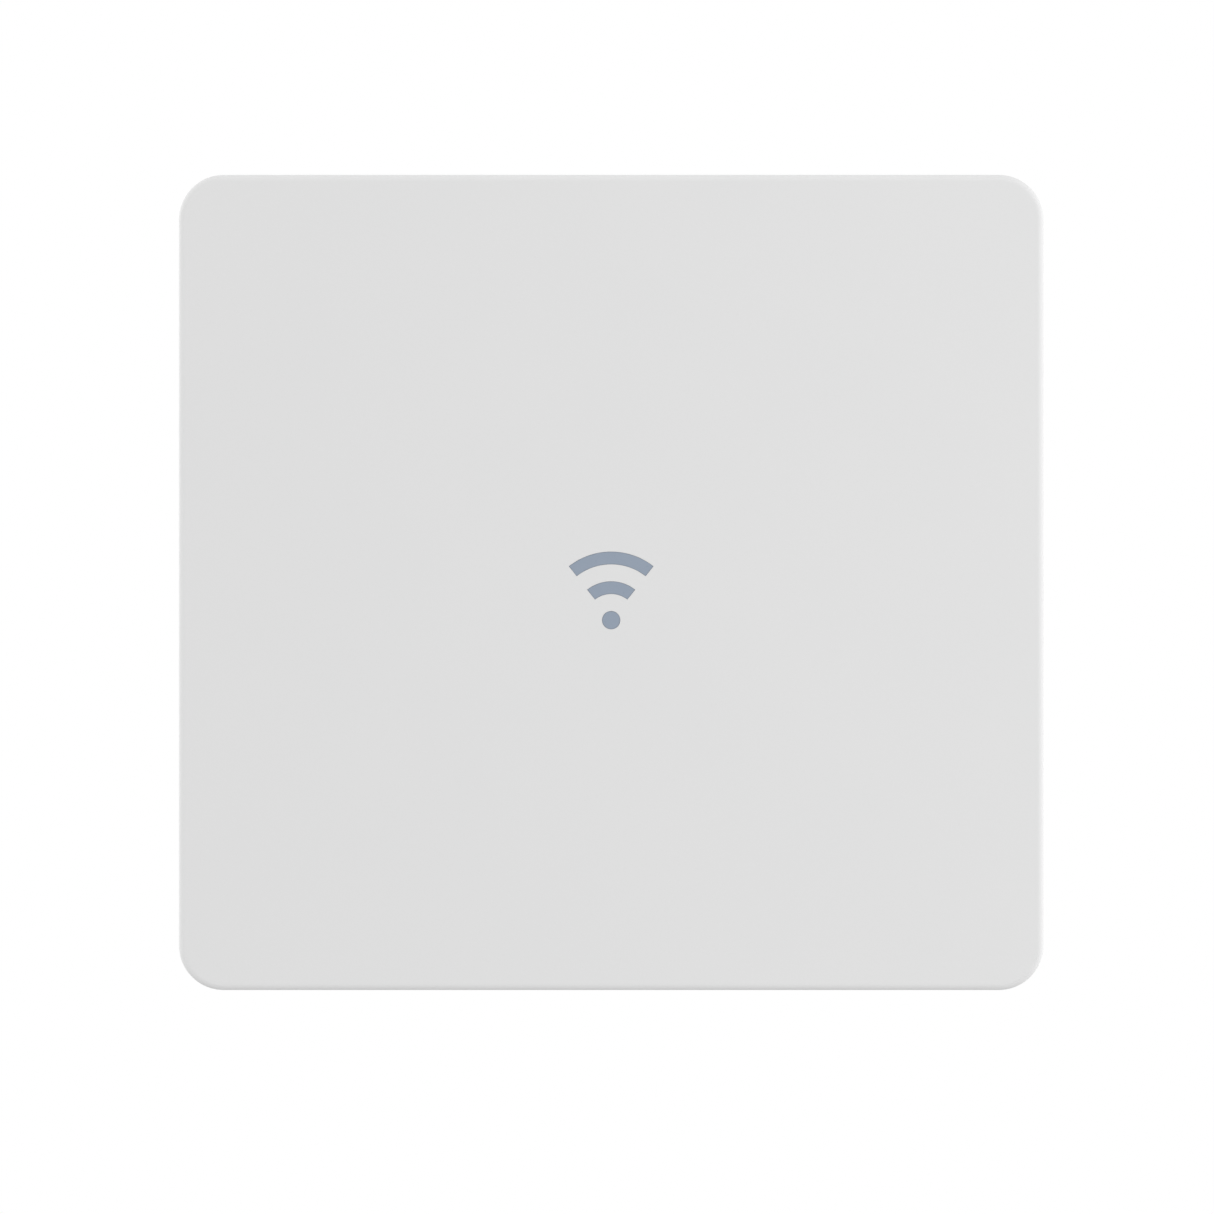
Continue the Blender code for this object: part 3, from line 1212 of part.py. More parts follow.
def make_latch(parent):
    half, nose_half = LATCH_WIDTH / 2, LATCH_NOSE_WIDTH / 2
    bar = block(
        "latch",
        (LATCH_BAR_X, LATCH_Y - half, LATCH_LOW_Z),
        (LATCH_END_X, LATCH_Y + half, LATCH_TOP_Z),
    )
    nose = block(
        "nose",
        (LATCH_NOSE_X, LATCH_Y - nose_half, LATCH_LOW_Z + GAP),
        (LATCH_BAR_X + ROOT_DEPTH, LATCH_Y + nose_half, LATCH_TOP_Z - GAP),
    )
    tab = block(
        "tab",
        (LATCH_END_X - LATCH_TAB_LENGTH, LATCH_Y - half + GAP, LATCH_TOP_Z - ROOT_DEPTH),
        (LATCH_END_X - GAP, LATCH_Y + half - GAP, LATCH_TOP_Z + LATCH_TAB_RISE),
    )
    join(bar, nose, tab)
    window_half = half - LATCH_RAIL
    window = block(
        "spring window",
        (SPRING_X - GAP, LATCH_Y - window_half, LATCH_LOW_Z - MM),
        (WINDOW_END_X, LATCH_Y + window_half, LATCH_TOP_Z + MM),
    )
    groove_z = LATCH_TOP_Z + LATCH_TAB_RISE
    grooves = []
    for number in range(3):
        x = LATCH_END_X - LATCH_TAB_LENGTH + (number + 1) * LATCH_TAB_LENGTH / 4
        low = (x - 0.5 * MM, LATCH_Y - half - MM, groove_z - 0.6 * MM)
        grooves.append(block("groove", low, (x + 0.5 * MM, LATCH_Y + half + MM, groove_z + MM)))
    cut(bar, window, *grooves)
    bar = with_origin_at(baked(bar), (LATCH_NOSE_X, LATCH_Y, LATCH_LOW_Z))
    keep(bar, "release_latch", LATCH_BLUE, parent)


def make_latch_spring(parent):
    middle_z = (LATCH_LOW_Z + LATCH_TOP_Z) / 2
    radius = SPRING_RADIUS - SPRING_WIRE / 2
    length = SPRING_LENGTH - SPRING_WIRE
    points = []
    for step in range(SPRING_TURNS * SPRING_POINTS_A_TURN + 1):
        angle = 2 * math.pi * step / SPRING_POINTS_A_TURN
        x = SPRING_X + GAP + SPRING_WIRE / 2
        x += length * step / (SPRING_TURNS * SPRING_POINTS_A_TURN)
        y = LATCH_Y + radius * math.cos(angle)
        points.append((x, y, middle_z + radius * math.sin(angle)))
    keep(wire("spring", points, SPRING_WIRE / 2), "latch_spring", ZINC, parent)


def make_latch_cover(parent):
    start = latch_cover_start()
    end = start + LATCH_COVER_LENGTH
    side = LATCH_WIDTH / 2 + LATCH_COVER_SIDE
    outer = side + LATCH_COVER_SHEET
    top = LATCH_COVER_Z + LATCH_COVER_SHEET
    strap = block("strap", (start, LATCH_Y - outer, LATCH_COVER_Z), (end, LATCH_Y + outer, top))
    legs = []
    for sign in (1, -1):
        low_y, high_y = sorted((LATCH_Y + sign * side, LATCH_Y + sign * outer))
        low = (start, low_y, BACK_Z - LATCH_COVER_FOOT)
        legs.append(block("strap leg", low, (end, high_y, top - LATCH_COVER_SHEET / 2)))
    join(strap, *legs)
    keep(strap, "latch_cover", ZINC, parent)


bracket_body = empty("bracket_body")
access_point = empty("access_point_body", parent=bracket_body)

make_bracket(bracket_body)
make_light_guide(access_point)
make_led_board(access_point)
make_housing_screws(access_point)
make_studs(access_point)
make_spacers(access_point)
make_main_board(access_point)
make_chips(access_point)
make_ethernet_jack("ethernet_jack_main", MAIN_JACK_X, access_point)
make_ethernet_jack("ethernet_jack_second", SECOND_JACK_X, access_point)
make_power_inlet(access_point)
make_reset(access_point)
make_ground_screw(access_point)
make_antenna_plate(access_point)
make_patches(access_point)
make_side_antennas(access_point)
make_coax(access_point)
make_latch(access_point)
make_latch_spring(access_point)
make_latch_cover(access_point)
make_cover(access_point)
make_housing(access_point)
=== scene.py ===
"""The looks of the ceiling access point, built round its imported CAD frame.

Shapes are made in millimetres, and placed() turns them into the frame's metres.
"""

from contextlib import contextmanager
from math import cos, pi, radians, sin, tau

import bmesh
import bpy
from mathutils import Matrix, Vector


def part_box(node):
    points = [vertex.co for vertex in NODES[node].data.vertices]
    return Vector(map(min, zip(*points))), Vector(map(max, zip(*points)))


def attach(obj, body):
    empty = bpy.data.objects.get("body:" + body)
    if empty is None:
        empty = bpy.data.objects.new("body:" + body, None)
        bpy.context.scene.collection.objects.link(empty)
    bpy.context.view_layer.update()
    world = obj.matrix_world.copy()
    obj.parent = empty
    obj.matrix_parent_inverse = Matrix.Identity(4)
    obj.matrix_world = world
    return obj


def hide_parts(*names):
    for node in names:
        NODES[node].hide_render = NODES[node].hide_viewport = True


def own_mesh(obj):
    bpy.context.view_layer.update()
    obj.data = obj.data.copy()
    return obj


MM = 0.001
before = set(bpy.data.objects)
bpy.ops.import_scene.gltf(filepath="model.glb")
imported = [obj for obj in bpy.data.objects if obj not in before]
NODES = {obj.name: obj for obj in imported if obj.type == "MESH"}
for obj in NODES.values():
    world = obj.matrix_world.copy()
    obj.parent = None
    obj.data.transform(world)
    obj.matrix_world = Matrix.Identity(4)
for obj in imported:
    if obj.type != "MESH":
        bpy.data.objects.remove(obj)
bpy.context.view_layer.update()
BODY = "access_point"
SIDES = (-1, 1)
CORNERS = ((1, 1), (-1, 1), (-1, -1), (1, -1))


# Camera, straight below the face

lens = bpy.data.cameras.new("camera")
lens.lens = 100
lens.sensor_width = 36
lens.clip_end = 30
camera = bpy.data.objects.new("camera", lens)
camera.location = (-1.35 * MM, 7.95 * MM, -1140.2 * MM)
camera.rotation_euler = (pi, 0, 0)
bpy.context.scene.collection.objects.link(camera)
bpy.context.scene.camera = camera
bpy.context.scene.view_settings.view_transform = "Standard"


# Nodes for the sky, the materials and the shading groups


def new_node(tree, kind, inputs=None, **settings):
    """Adds a node. Each of its inputs is given as a value or as another node's output."""
    node = tree.nodes.new(kind)
    for name, value in settings.items():
        setattr(node, name, value)
    for socket, value in (inputs or {}).items():
        if isinstance(value, bpy.types.NodeSocket):
            tree.links.new(value, node.inputs[socket])
        else:
            node.inputs[socket].default_value = value
    return node


def maths(tree, operation, a, b=0.0):
    return new_node(tree, "ShaderNodeMath", {0: a, 1: b}, operation=operation).outputs["Value"]


# Light

BASE_LIGHT = 1.002  # the sky's strength straight below
SIDE_LIGHT = 1.0  # added towards both sides
FAR_SHADE = 0.08  # taken away towards -Y
NEAR_SHADE = 0.52  # taken away towards +Y
ABOVE_SHADE = 0.62  # taken away straight above


def studio_world():
    """White behind the object, and for the light a sky that is brighter at the sides than at +Y."""
    world = bpy.data.worlds.new("studio")
    world.use_nodes = True
    tree = world.node_tree
    tree.nodes.clear()
    place = new_node(tree, "ShaderNodeTexCoord").outputs["Generated"]
    split = new_node(tree, "ShaderNodeSeparateXYZ", {"Vector": place}).outputs
    side = maths(tree, "POWER", maths(tree, "ABSOLUTE", split["X"]), 3)
    strength = maths(tree, "MULTIPLY", side, SIDE_LIGHT)
    shades = (("Y", -1, 1, FAR_SHADE), ("Y", 1, 1, NEAR_SHADE), ("Z", 1, 3, ABOVE_SHADE))
    for axis, sign, power, shade in shades:
        share = maths(tree, "MAXIMUM", maths(tree, "MULTIPLY", split[axis], sign), 0)
        share = maths(tree, "POWER", share, power)
        strength = maths(tree, "ADD", strength, maths(tree, "MULTIPLY", share, -shade))
    strength = maths(tree, "ADD", strength, BASE_LIGHT)
    lit = new_node(tree, "ShaderNodeBackground", {"Strength": strength})
    seen = new_node(tree, "ShaderNodeBackground", {"Color": (1, 1, 1, 1)})
    ray = new_node(tree, "ShaderNodeLightPath").outputs["Is Camera Ray"]
    shaders = {"Fac": ray, 1: lit.outputs["Background"], 2: seen.outputs["Background"]}
    mix = new_node(tree, "ShaderNodeMixShader", shaders)
    new_node(tree, "ShaderNodeOutputWorld", {"Surface": mix.outputs["Shader"]})
    bpy.context.scene.world = world


def area_light(name, place, target, size, power, mirrored=False):
    """A soft lamp, in metres. Metal shows it as a highlight only if it is mirrored."""
    data = bpy.data.lights.new(name, "AREA")
    data.shape = "SQUARE"
    data.size = size
    data.energy = power
    lamp = bpy.data.objects.new(name, data)
    lamp.location = place
    aim = Vector(target) - Vector(place)
    lamp.rotation_euler = aim.to_track_quat("-Z", "Y").to_euler()
    lamp.visible_glossy = mirrored
    bpy.context.scene.collection.objects.link(lamp)


studio_world()
area_light("key_above", (-0.9, -0.7, 1.1), (0, 0, 0), 1.8, 10)
area_light("fill_above", (1.0, 0.9, 0.5), (0, 0, 0), 1.5, 3)
area_light("right_below", (1.0, -0.35, -1.0), (0, 0, -0.05), 0.7, 3.0, mirrored=True)


# Shape helpers, in millimetres


def outline(half_x, half_y, radius, steps=16, centre=(0, 0)):
    """A rounded rectangle as 4 * (steps + 1) points, counter-clockwise."""
    points = []
    for number, (side_x, side_y) in enumerate(CORNERS):
        middle_x = centre[0] + side_x * (half_x - radius)
        middle_y = centre[1] + side_y * (half_y - radius)
        for step in range(steps + 1):
            angle = radians(90 * (number + step / steps))
            x = middle_x + radius * cos(angle)
            points.append((x, middle_y + radius * sin(angle)))
    return points


def circle(radius, sides, centre=(0, 0)):
    points = []
    for n in range(sides):
        angle = tau * n / sides
        x = centre[0] + radius * cos(angle)
        points.append((x, centre[1] + radius * sin(angle)))
    return points


def flat_ring(points, z):
    return [(x, y, z) for x, y in points]


def outline_ring(centre, half, inset, radius, z, steps=6):
    """A rounded rectangle at the height z, moved in from its half sizes by inset."""
    radius = max(radius - inset, 0.1)
    return flat_ring(outline(half[0] - inset, half[1] - inset, radius, steps, centre), z)


def loft(bm, rings, closed=False):
    """Joins rings of equally many points. The ends are capped, or joined to each other if closed."""
    loops = [[bm.verts.new(point) for point in ring] for ring in rings]
    pairs = list(zip(loops, loops[1:]))
    if closed:
        pairs.append((loops[-1], loops[0]))
    count = len(loops[0])
    for low, high in pairs:
        for n in range(count):
            m = (n + 1) % count
            bm.faces.new((low[n], low[m], high[m], high[n]))
    if not closed:
        bm.faces.new(loops[0][::-1])
        bm.faces.new(loops[-1])
    return loops


def add_lathe(bm, profile, centre, sides=48, axis="Z"):
    """Turns (radius, height) points round an axis through centre. The ends are closed."""
    rings = []
    for radius, height in profile:
        points = circle(max(radius, 0.002), sides)
        if axis == "Z":
            rings.append([(centre[0] + x, centre[1] + y, height) for x, y in points])
        else:
            rings.append([(centre[0] + y, height, centre[1] + x) for x, y in points])
    loft(bm, rings)


def add_copy(bm, made):
    """Moves what made holds into bm."""
    part = bpy.data.meshes.new("part")
    made.to_mesh(part)
    made.free()
    bm.from_mesh(part)
    bpy.data.meshes.remove(part)


def add_box(bm, low, high, edge=0.0, segments=2):
    """A box with its edges rounded by edge."""
    made = bmesh.new()
    bmesh.ops.create_cube(made, size=1)
    size = [b - a for a, b in zip(low, high)]
    middle = [(a + b) / 2 for a, b in zip(low, high)]
    for vert in made.verts:
        vert.co = [m + c * s for m, c, s in zip(middle, vert.co, size)]
    if edge:
        settings = {"segments": segments, "profile": 0.5, "affect": "EDGES", "clamp_overlap": True}
        bmesh.ops.bevel(made, geom=list(made.edges), offset=edge, **settings)
    add_copy(bm, made)


def across_x(x, half, y_range, z_range):
    """The low and high corners of a box that reaches half to both sides of x."""
    return (x - half, y_range[0], z_range[0]), (x + half, y_range[1], z_range[1])


def add_tube(bm, points, radius, sides=10):
    """A round wire along points, its cross-section carried along without twisting."""
    points = [Vector(p) for p in points]
    tangents = []
    for n in range(len(points)):
        ahead = points[min(n + 1, len(points) - 1)]
        tangents.append((ahead - points[max(n - 1, 0)]).normalized())
    normal = tangents[0].orthogonal().normalized()
    rings = []
    for point, tangent in zip(points, tangents):
        normal = (normal - tangent * normal.dot(tangent)).normalized()
        across = tangent.cross(normal)
        rings.append([point + radius * (normal * x + across * y) for x, y in circle(1, sides)])
    loft(bm, rings)


def shade(mesh, smooth=32):
    """Shades a mesh smooth, except over edges sharper than smooth degrees."""
    mesh.polygons.foreach_set("use_smooth", [True] * len(mesh.polygons))
    mesh.set_sharp_from_angle(angle=radians(smooth))


def finished(name, bm, material):
    """Makes an object of bm, still in millimetres."""
    bmesh.ops.recalc_face_normals(bm, faces=list(bm.faces))
    mesh = bpy.data.meshes.new(name)
    bm.to_mesh(mesh)
    bm.free()
    shade(mesh)
    obj = bpy.data.objects.new(name, mesh)
    bpy.context.scene.collection.objects.link(obj)
    mesh.materials.append(material)
    return obj


def modify(obj, kind, **settings):
    modifier = obj.modifiers.new(kind.lower(), kind)
    for name, value in settings.items():
        setattr(modifier, name, value)


def lofted(name, rings, material, closed=False):
    bm = bmesh.new()
    loft(bm, rings, closed)
    return finished(name, bm, material)


def subtract(obj, *cutters):
    """Cuts the other objects out of this one and uses them up."""
    for cutter in cutters:
        modify(obj, "BOOLEAN", operation="DIFFERENCE", solver="EXACT", object=cutter)
    bpy.context.view_layer.update()
    graph = bpy.context.evaluated_depsgraph_get()
    mesh = bpy.data.meshes.new_from_object(obj.evaluated_get(graph))
    mesh.name = obj.name
    obj.modifiers.clear()
    old = obj.data
    obj.data = mesh
    bpy.data.meshes.remove(old)
    shade(mesh)
    for cutter in cutters:
        bpy.data.objects.remove(cutter)


def box_object(name, low, high, material, edge=0.0):
    bm = bmesh.new()
    add_box(bm, low, high, edge)
    return finished(name, bm, material)


def cut_boxes(obj, *boxes):
    """Cuts boxes, each given by its low and high corners, out of an object."""
    material = obj.data.materials[0]
    subtract(obj, *[box_object("cutter", low, high, material) for low, high in boxes])


def even_normals(obj):
    modify(obj, "WEIGHTED_NORMAL", keep_sharp=True, weight=100)


def placed(obj, slot, *replaced, body=BODY):
    """Brings an object into the frame's metres and hands it to its body."""
    obj.data.transform(Matrix.Scale(MM, 4))
    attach(obj, body)
    if replaced:
        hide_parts(*replaced)
    return obj


@contextmanager
def piece(name, material, slot, *replaced, body=BODY):
    """Gives an empty mesh to fill and makes a placed piece of it."""
    bm = bmesh.new()
    yield bm
    placed(finished(name, bm, material), slot, *replaced, body=body)


def box_of(node):
    """The middle and the low and high corners of a CAD node's box, in millimetres."""
    low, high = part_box(node)
    return (low + high) / 2 / MM, low / MM, high / MM


# Materials


class Surface:
    """A Principled material. Its patterns lie in object coordinates, and their sizes are in mm."""

    def __init__(self, name, colour, roughness, metallic=0.0, specular=0.5, sheen=0.0):
        self.material = bpy.data.materials.new(name)
        self.material.use_nodes = True
        self.tree = self.material.node_tree
        self.shader = self.tree.nodes["Principled BSDF"]
        sockets = ("Base Color", "Roughness", "Metallic", "Specular IOR Level", "Sheen Weight")
        for socket, value in zip(sockets, ((*colour, 1), roughness, metallic, specular, sheen)):
            self.shader.inputs[socket].default_value = value
        self.height = None
        self.place = self.node("ShaderNodeTexCoord").outputs["Object"]

    def node(self, kind, inputs=None, **settings):
        return new_node(self.tree, kind, inputs, **settings)

    def stretched(self, scale):
        return self.node("ShaderNodeMapping", {"Vector": self.place, "Scale": scale}).outputs["Vector"]

    def noise(self, size, detail=3.0, stretch=None, rough=0.5):
        """Noise of about 0 to 1 whose grains are size across."""
        inputs = {"Scale": 1 / (size * MM), "Detail": detail, "Roughness": rough}
        inputs["Vector"] = self.stretched(stretch) if stretch else self.place
        return self.node("ShaderNodeTexNoise", inputs).outputs["Fac"]

    def cells(self, size, feature="F1"):
        """The distance from the middle of cells of about size."""
        inputs = {"Scale": 1 / (size * MM), "Vector": self.place}
        return self.node("ShaderNodeTexVoronoi", inputs, feature=feature).outputs["Distance"]

    def block_values(self, size):
        """One number from 0 to 1 for each square-sided block of about size."""
        inputs = {"Scale": 1 / (size * MM), "Vector": self.stretched((1, 1, 0))}
        blocks = self.node("ShaderNodeTexVoronoi", inputs, distance="CHEBYCHEV")
        split = self.node("ShaderNodeSeparateColor", {"Color": blocks.outputs["Color"]})
        return split.outputs["Red"]

    def maths(self, operation, a, b=0.0):
        return maths(self.tree, operation, a, b)

    def stripes(self, axis, pitch, share=0.4):
        """1 on lines that run across axis, a pitch apart, and 0 between them."""
        split = self.node("ShaderNodeSeparateXYZ", {"Vector": self.place})
        steps = self.maths("FRACT", self.maths("MULTIPLY", split.outputs[axis], 1 / (pitch * MM)))
        return self.maths("LESS_THAN", steps, share)

    def ranged(self, value, low, high, start=0.3, end=0.7):
        """Goes from low to high as value goes from start to end."""
        inputs = {"Value": value, "From Min": start, "From Max": end, "To Min": low, "To Max": high}
        return self.node("ShaderNodeMapRange", inputs).outputs["Result"]

    def haze(self, value, low, high):
        self.tree.links.new(self.ranged(value, low, high), self.shader.inputs["Roughness"])

    def tint(self, value, other, high=1.0, start=0.3, end=0.7):
        """Mixes the colour towards other, up to a share of high, as value goes from start to end."""
        socket = self.shader.inputs["Base Color"]
        old = socket.links[0].from_socket if socket.is_linked else tuple(socket.default_value)
        inputs = {6: old, 7: (*other, 1), "Factor": self.ranged(value, 0.0, high, start, end)}
        mix = self.node("ShaderNodeMix", inputs, data_type="RGBA")
        self.tree.links.new(mix.outputs[2], socket)

    def bump(self, value, depth, strength=1.0):
        """Adds a bump of depth where value goes from 0 to 1."""
        inputs = {"Strength": strength, "Distance": depth * MM, "Height": value}
        if self.height is not None:
            inputs["Normal"] = self.height
        self.height = self.node("ShaderNodeBump", inputs).outputs["Normal"]
        self.tree.links.new(self.height, self.shader.inputs["Normal"])


def cover_plastic():
    """White polycarbonate with a fine spark-eroded grain."""
    look = Surface("cover_plastic", (0.797, 0.797, 0.797), 0.5, specular=0.35)
    look.tint(look.noise(38, 2), (0.786, 0.788, 0.79), 0.5)
    look.tint(look.cells(0.42), (0.77, 0.77, 0.765), 0.3, 0.45, 0.95)
    look.haze(look.noise(9, 4), 0.47, 0.56)
    look.bump(look.noise(0.5, 3), 0.012, 0.6)
    look.bump(look.cells(0.9), 0.008, 0.5)
    return look.material


def housing_paint():
    """White powder coat over die-cast aluminium: an even orange peel with pin-head specks."""
    look = Surface("housing_paint", (0.74, 0.745, 0.745), 0.46, specular=0.45)
    look.tint(look.noise(26, 3), (0.70, 0.705, 0.70), 0.7)
    look.tint(look.cells(1.6), (0.80, 0.80, 0.79), 0.35, 0.0, 0.5)
    look.haze(look.noise(3.2, 4), 0.38, 0.56)
    look.bump(look.noise(1.3, 2), 0.05, 0.7)
    look.bump(look.noise(0.35, 3), 0.012, 0.6)
    return look.material


def zinc_plate(name, stretch):
    """Zinc-plated steel: a rolling grain along one axis, blue-white clouds and small dull spots."""
    look = Surface(name, (0.52, 0.535, 0.555), 0.34, 1.0)
    look.tint(look.noise(14, 5), (0.60, 0.605, 0.61))
    look.tint(look.noise(5, 6, rough=0.7), (0.42, 0.41, 0.37), 0.5, 0.55, 0.8)
    look.tint(look.noise(0.9, 4, stretch), (0.45, 0.46, 0.48), 0.35, 0.5, 0.75)
    look.haze(look.noise(1.1, 5, stretch), 0.31, 0.43)
    look.bump(look.noise(0.55, 4, stretch), 0.006, 0.7)
    look.bump(look.cells(2.4, "SMOOTH_F1"), 0.010, 0.4)
    return look.material


def metal(name, colour, roughness, clouds, other, rough_grain, rough_range, relief, depth, high=0.8):
    """A metal with clouds of another colour. Its roughness and its relief have grains of their own."""
    look = Surface(name, colour, roughness, 1.0)
    look.tint(look.noise(*clouds), other, high)
    look.haze(look.noise(*rough_grain), *rough_range)
    look.bump(look.noise(*relief), *depth)
    return look.material


def light_guide():
    """Blue-grey tinted polycarbonate, a little cloudy."""
    look = Surface("light_guide", (0.303, 0.359, 0.444), 0.3, specular=0.3)
    look.tint(look.noise(6, 2), (0.311, 0.367, 0.451))
    look.haze(look.noise(1.5, 3), 0.27, 0.36)
    look.bump(look.noise(0.8, 2), 0.004, 0.5)
    return look.material


def board_mask():
    """Green solder mask with bundles of copper runs and vias showing through it."""
    look = Surface("solder_mask", (0.010, 0.098, 0.042), 0.32, specular=0.6)
    look.tint(look.noise(11, 3), (0.008, 0.078, 0.034))
    regions = look.block_values(13)
    runs_x = look.maths("MULTIPLY", look.stripes("X", 1.1), look.maths("GREATER_THAN", regions, 0.62))
    runs_y = look.maths("MULTIPLY", look.stripes("Y", 1.3), look.maths("LESS_THAN", regions, 0.34))
    runs = look.maths("ADD", runs_x, runs_y)
    look.tint(runs, (0.026, 0.175, 0.075), start=0, end=1)
    vias = look.maths("LESS_THAN", look.cells(3.4), 0.1)
    look.tint(vias, (0.16, 0.30, 0.16), start=0, end=1)
    look.haze(look.noise(1.2, 4), 0.26, 0.42)
    look.bump(runs, 0.03, 0.4)
    look.bump(look.noise(0.3, 3), 0.01, 0.5)
    return look.material


def moulded(name, colour, other, roughness, grain=0.35, specular=0.4):
    """Moulded plastic or resin with a matt grain."""
    look = Surface(name, colour, roughness, specular=specular)
    look.tint(look.noise(5, 4), other)
    look.haze(look.noise(1.1, 4), roughness - 0.07, roughness + 0.08)
    look.bump(look.noise(grain, 3), 0.012, 0.7)
    look.bump(look.cells(grain * 2), 0.006, 0.5)
    return look.material


def soft_pad():
    """Silicone filled with pale grains."""
    look = Surface("thermal_pad", (0.36, 0.43, 0.52), 0.8, sheen=0.15)
    look.tint(look.noise(3, 5), (0.44, 0.50, 0.57))
    look.tint(look.cells(0.6), (0.52, 0.55, 0.58), 0.5, 0.2, 0.0)
    look.haze(look.noise(1, 4), 0.72, 0.9)
    look.bump(look.noise(0.7, 5), 0.05, 0.8)
    return look.material


COVER = cover_plastic()
PAINT = housing_paint()
ZINC = zinc_plate("zinc_plate", (0.06, 1, 1))
ZINC_LATCH = zinc_plate("zinc_plate_cross", (1, 0.06, 1))
STEEL = metal(
    "machined_steel", (0.66, 0.665, 0.67), 0.26, (2.2, 4), (0.52, 0.525, 0.53),
    (0.5, 4, (0.2, 0.2, 1)), (0.2, 0.42), (0.16, 3, (0.15, 0.15, 1)), (0.006, 0.6),
)
GUIDE = light_guide()
TIN = metal(
    "tinplate", (0.74, 0.735, 0.715), 0.25, (4, 4), (0.62, 0.615, 0.60),
    (1.4, 5, (0.3, 1, 1)), (0.16, 0.38), (1.1, 3), (0.010, 0.6),
)
GOLD = metal(
    "contact_gold", (0.83, 0.60, 0.22), 0.2, (0.9, 3), (0.74, 0.52, 0.18),
    (0.5, 3), (0.14, 0.3), (0.2, 3, (1, 0.1, 1)), (0.003, 0.5),
)
COPPER = metal(
    "antenna_copper", (0.74, 0.43, 0.29), 0.3, (9, 5), (0.58, 0.30, 0.19),
    (1.2, 5, (1, 0.08, 1)), (0.2, 0.42), (0.4, 4, (1, 0.06, 1)), (0.006, 0.6), high=0.9,
)
CAN = metal(
    "capacitor_can", (0.76, 0.765, 0.77), 0.3, (3, 4), (0.66, 0.665, 0.67),
    (0.8, 5, (1, 1, 0.05)), (0.2, 0.42), (0.3, 3, (1, 1, 0.05)), (0.005, 0.6), high=1.0,
)
MASK = board_mask()
CHIP = moulded("chip_resin", (0.022, 0.022, 0.024), (0.034, 0.034, 0.035), 0.46, 0.25)
BLACK = moulded("connector_black", (0.016, 0.016, 0.017), (0.026, 0.026, 0.027), 0.4, 0.3)
FERRITE = moulded("ferrite_grey", (0.06, 0.058, 0.058), (0.10, 0.095, 0.09), 0.6, 0.4)
BUTTON = moulded("button_plastic", (0.19, 0.20, 0.21), (0.24, 0.25, 0.26), 0.42, 0.3)
LATCH = moulded("latch_plastic", (0.215, 0.255, 0.300), (0.245, 0.285, 0.33), 0.45, 0.4)
JACKET = moulded("coax_jacket", (0.23, 0.235, 0.245), (0.29, 0.295, 0.30), 0.42, 0.3)
LED_RESIN = moulded("led_resin", (0.82, 0.80, 0.62), (0.86, 0.84, 0.70), 0.25, 0.5, 0.6)
LENS_GREEN = moulded("indicator_lens", (0.30, 0.42, 0.28), (0.36, 0.47, 0.32), 0.22, 0.4, 0.6)
CERAMIC = moulded("ceramic_body", (0.36, 0.26, 0.17), (0.42, 0.31, 0.21), 0.5, 0.1)
TAPE = moulded("winding_tape", (0.62, 0.42, 0.06), (0.70, 0.50, 0.10), 0.38, 0.6, 0.5)
PAD = soft_pad()


# Floor, far below the ceiling unit and behind the camera, in metres

FLOOR_Z = -2.6
FLOOR_RADIUS = 28


def make_floor():
    """A round pale floor with a painted glow that grows outwards, so that it fades to white far out. It is
    left out of the light on the object.
    """
    bm = bmesh.new()
    bmesh.ops.create_circle(bm, cap_ends=True, radius=FLOOR_RADIUS, segments=96)
    for vert in bm.verts:
        vert.co.z = FLOOR_Z
    look = Surface("floor", (0.93, 0.93, 0.925), 0.8, specular=0.1)
    look.tint(look.noise(900, 4), (0.90, 0.90, 0.895))
    look.haze(look.noise(300, 4), 0.7, 0.9)
    look.bump(look.noise(4, 3), 0.2, 0.4)
    distance = look.node("ShaderNodeVectorMath", {0: look.place}, operation="LENGTH").outputs["Value"]
    # Painted light: the floor emits more the farther out it lies, though it is no lamp.
    painted_glow = look.ranged(distance, 0.04, 0.6, FLOOR_RADIUS * 0.08, FLOOR_RADIUS * 0.8)
    look.shader.inputs["Emission Color"].default_value = (1, 1, 1, 1)
    look.tree.links.new(painted_glow, look.shader.inputs["Emission Strength"])
    floor = finished("floor", bm, look.material)
    floor.visible_diffuse = False
    floor.visible_glossy = False
    floor.visible_shadow = False


make_floor()


# Front cover and the light guide that comes through it

_, COVER_LOW, COVER_HIGH = box_of("front_cover")
HALF_X, HALF_Y = COVER_HIGH.x, COVER_HIGH.y
FACE_Z = COVER_LOW.z
CORNER_RADIUS = 14.5
COVER_WALL = 2.6
FACE_EDGE = 2.2  # radius of the rim round the face
INSIDE_Z = FACE_Z + COVER_WALL
BOSS_Z = -27.0  # top of the screw bosses
MARK, _, GUIDE_HIGH = box_of("status_light_guide")
GUIDE_GAP = 0.05  # the hairline round the mark
DOT = (MARK.x, MARK.y + 9.6)
DOT_RADIUS = 2.9
STROKE = 4
WAVE_RADII = (10.5, 20.1)
WAVE_HALF_ANGLE = radians(38)
WAVE_STEPS = 40


def body_ring(inset, z):
    radius = max(CORNER_RADIUS - inset, 0.6)
    return flat_ring(outline(HALF_X - inset, HALF_Y - inset, radius, 20), z)


def wave_outline(radius, grow):
    """One arc of the mark."""
    half = STROKE / 2 + grow
    spread = WAVE_HALF_ANGLE + grow / radius
    angles = [spread * (2 * n / WAVE_STEPS - 1) - pi / 2 for n in range(WAVE_STEPS + 1)]
    outer = [(radius + half, a) for a in angles]
    inner = [(radius - half, a) for a in reversed(angles)]
    return [(DOT[0] + r * cos(a), DOT[1] + r * sin(a)) for r, a in outer + inner]


def mark_outlines(grow):
    shapes = [circle(DOT_RADIUS + grow, 64, DOT)]
    return shapes + [wave_outline(radius, grow) for radius in WAVE_RADII]


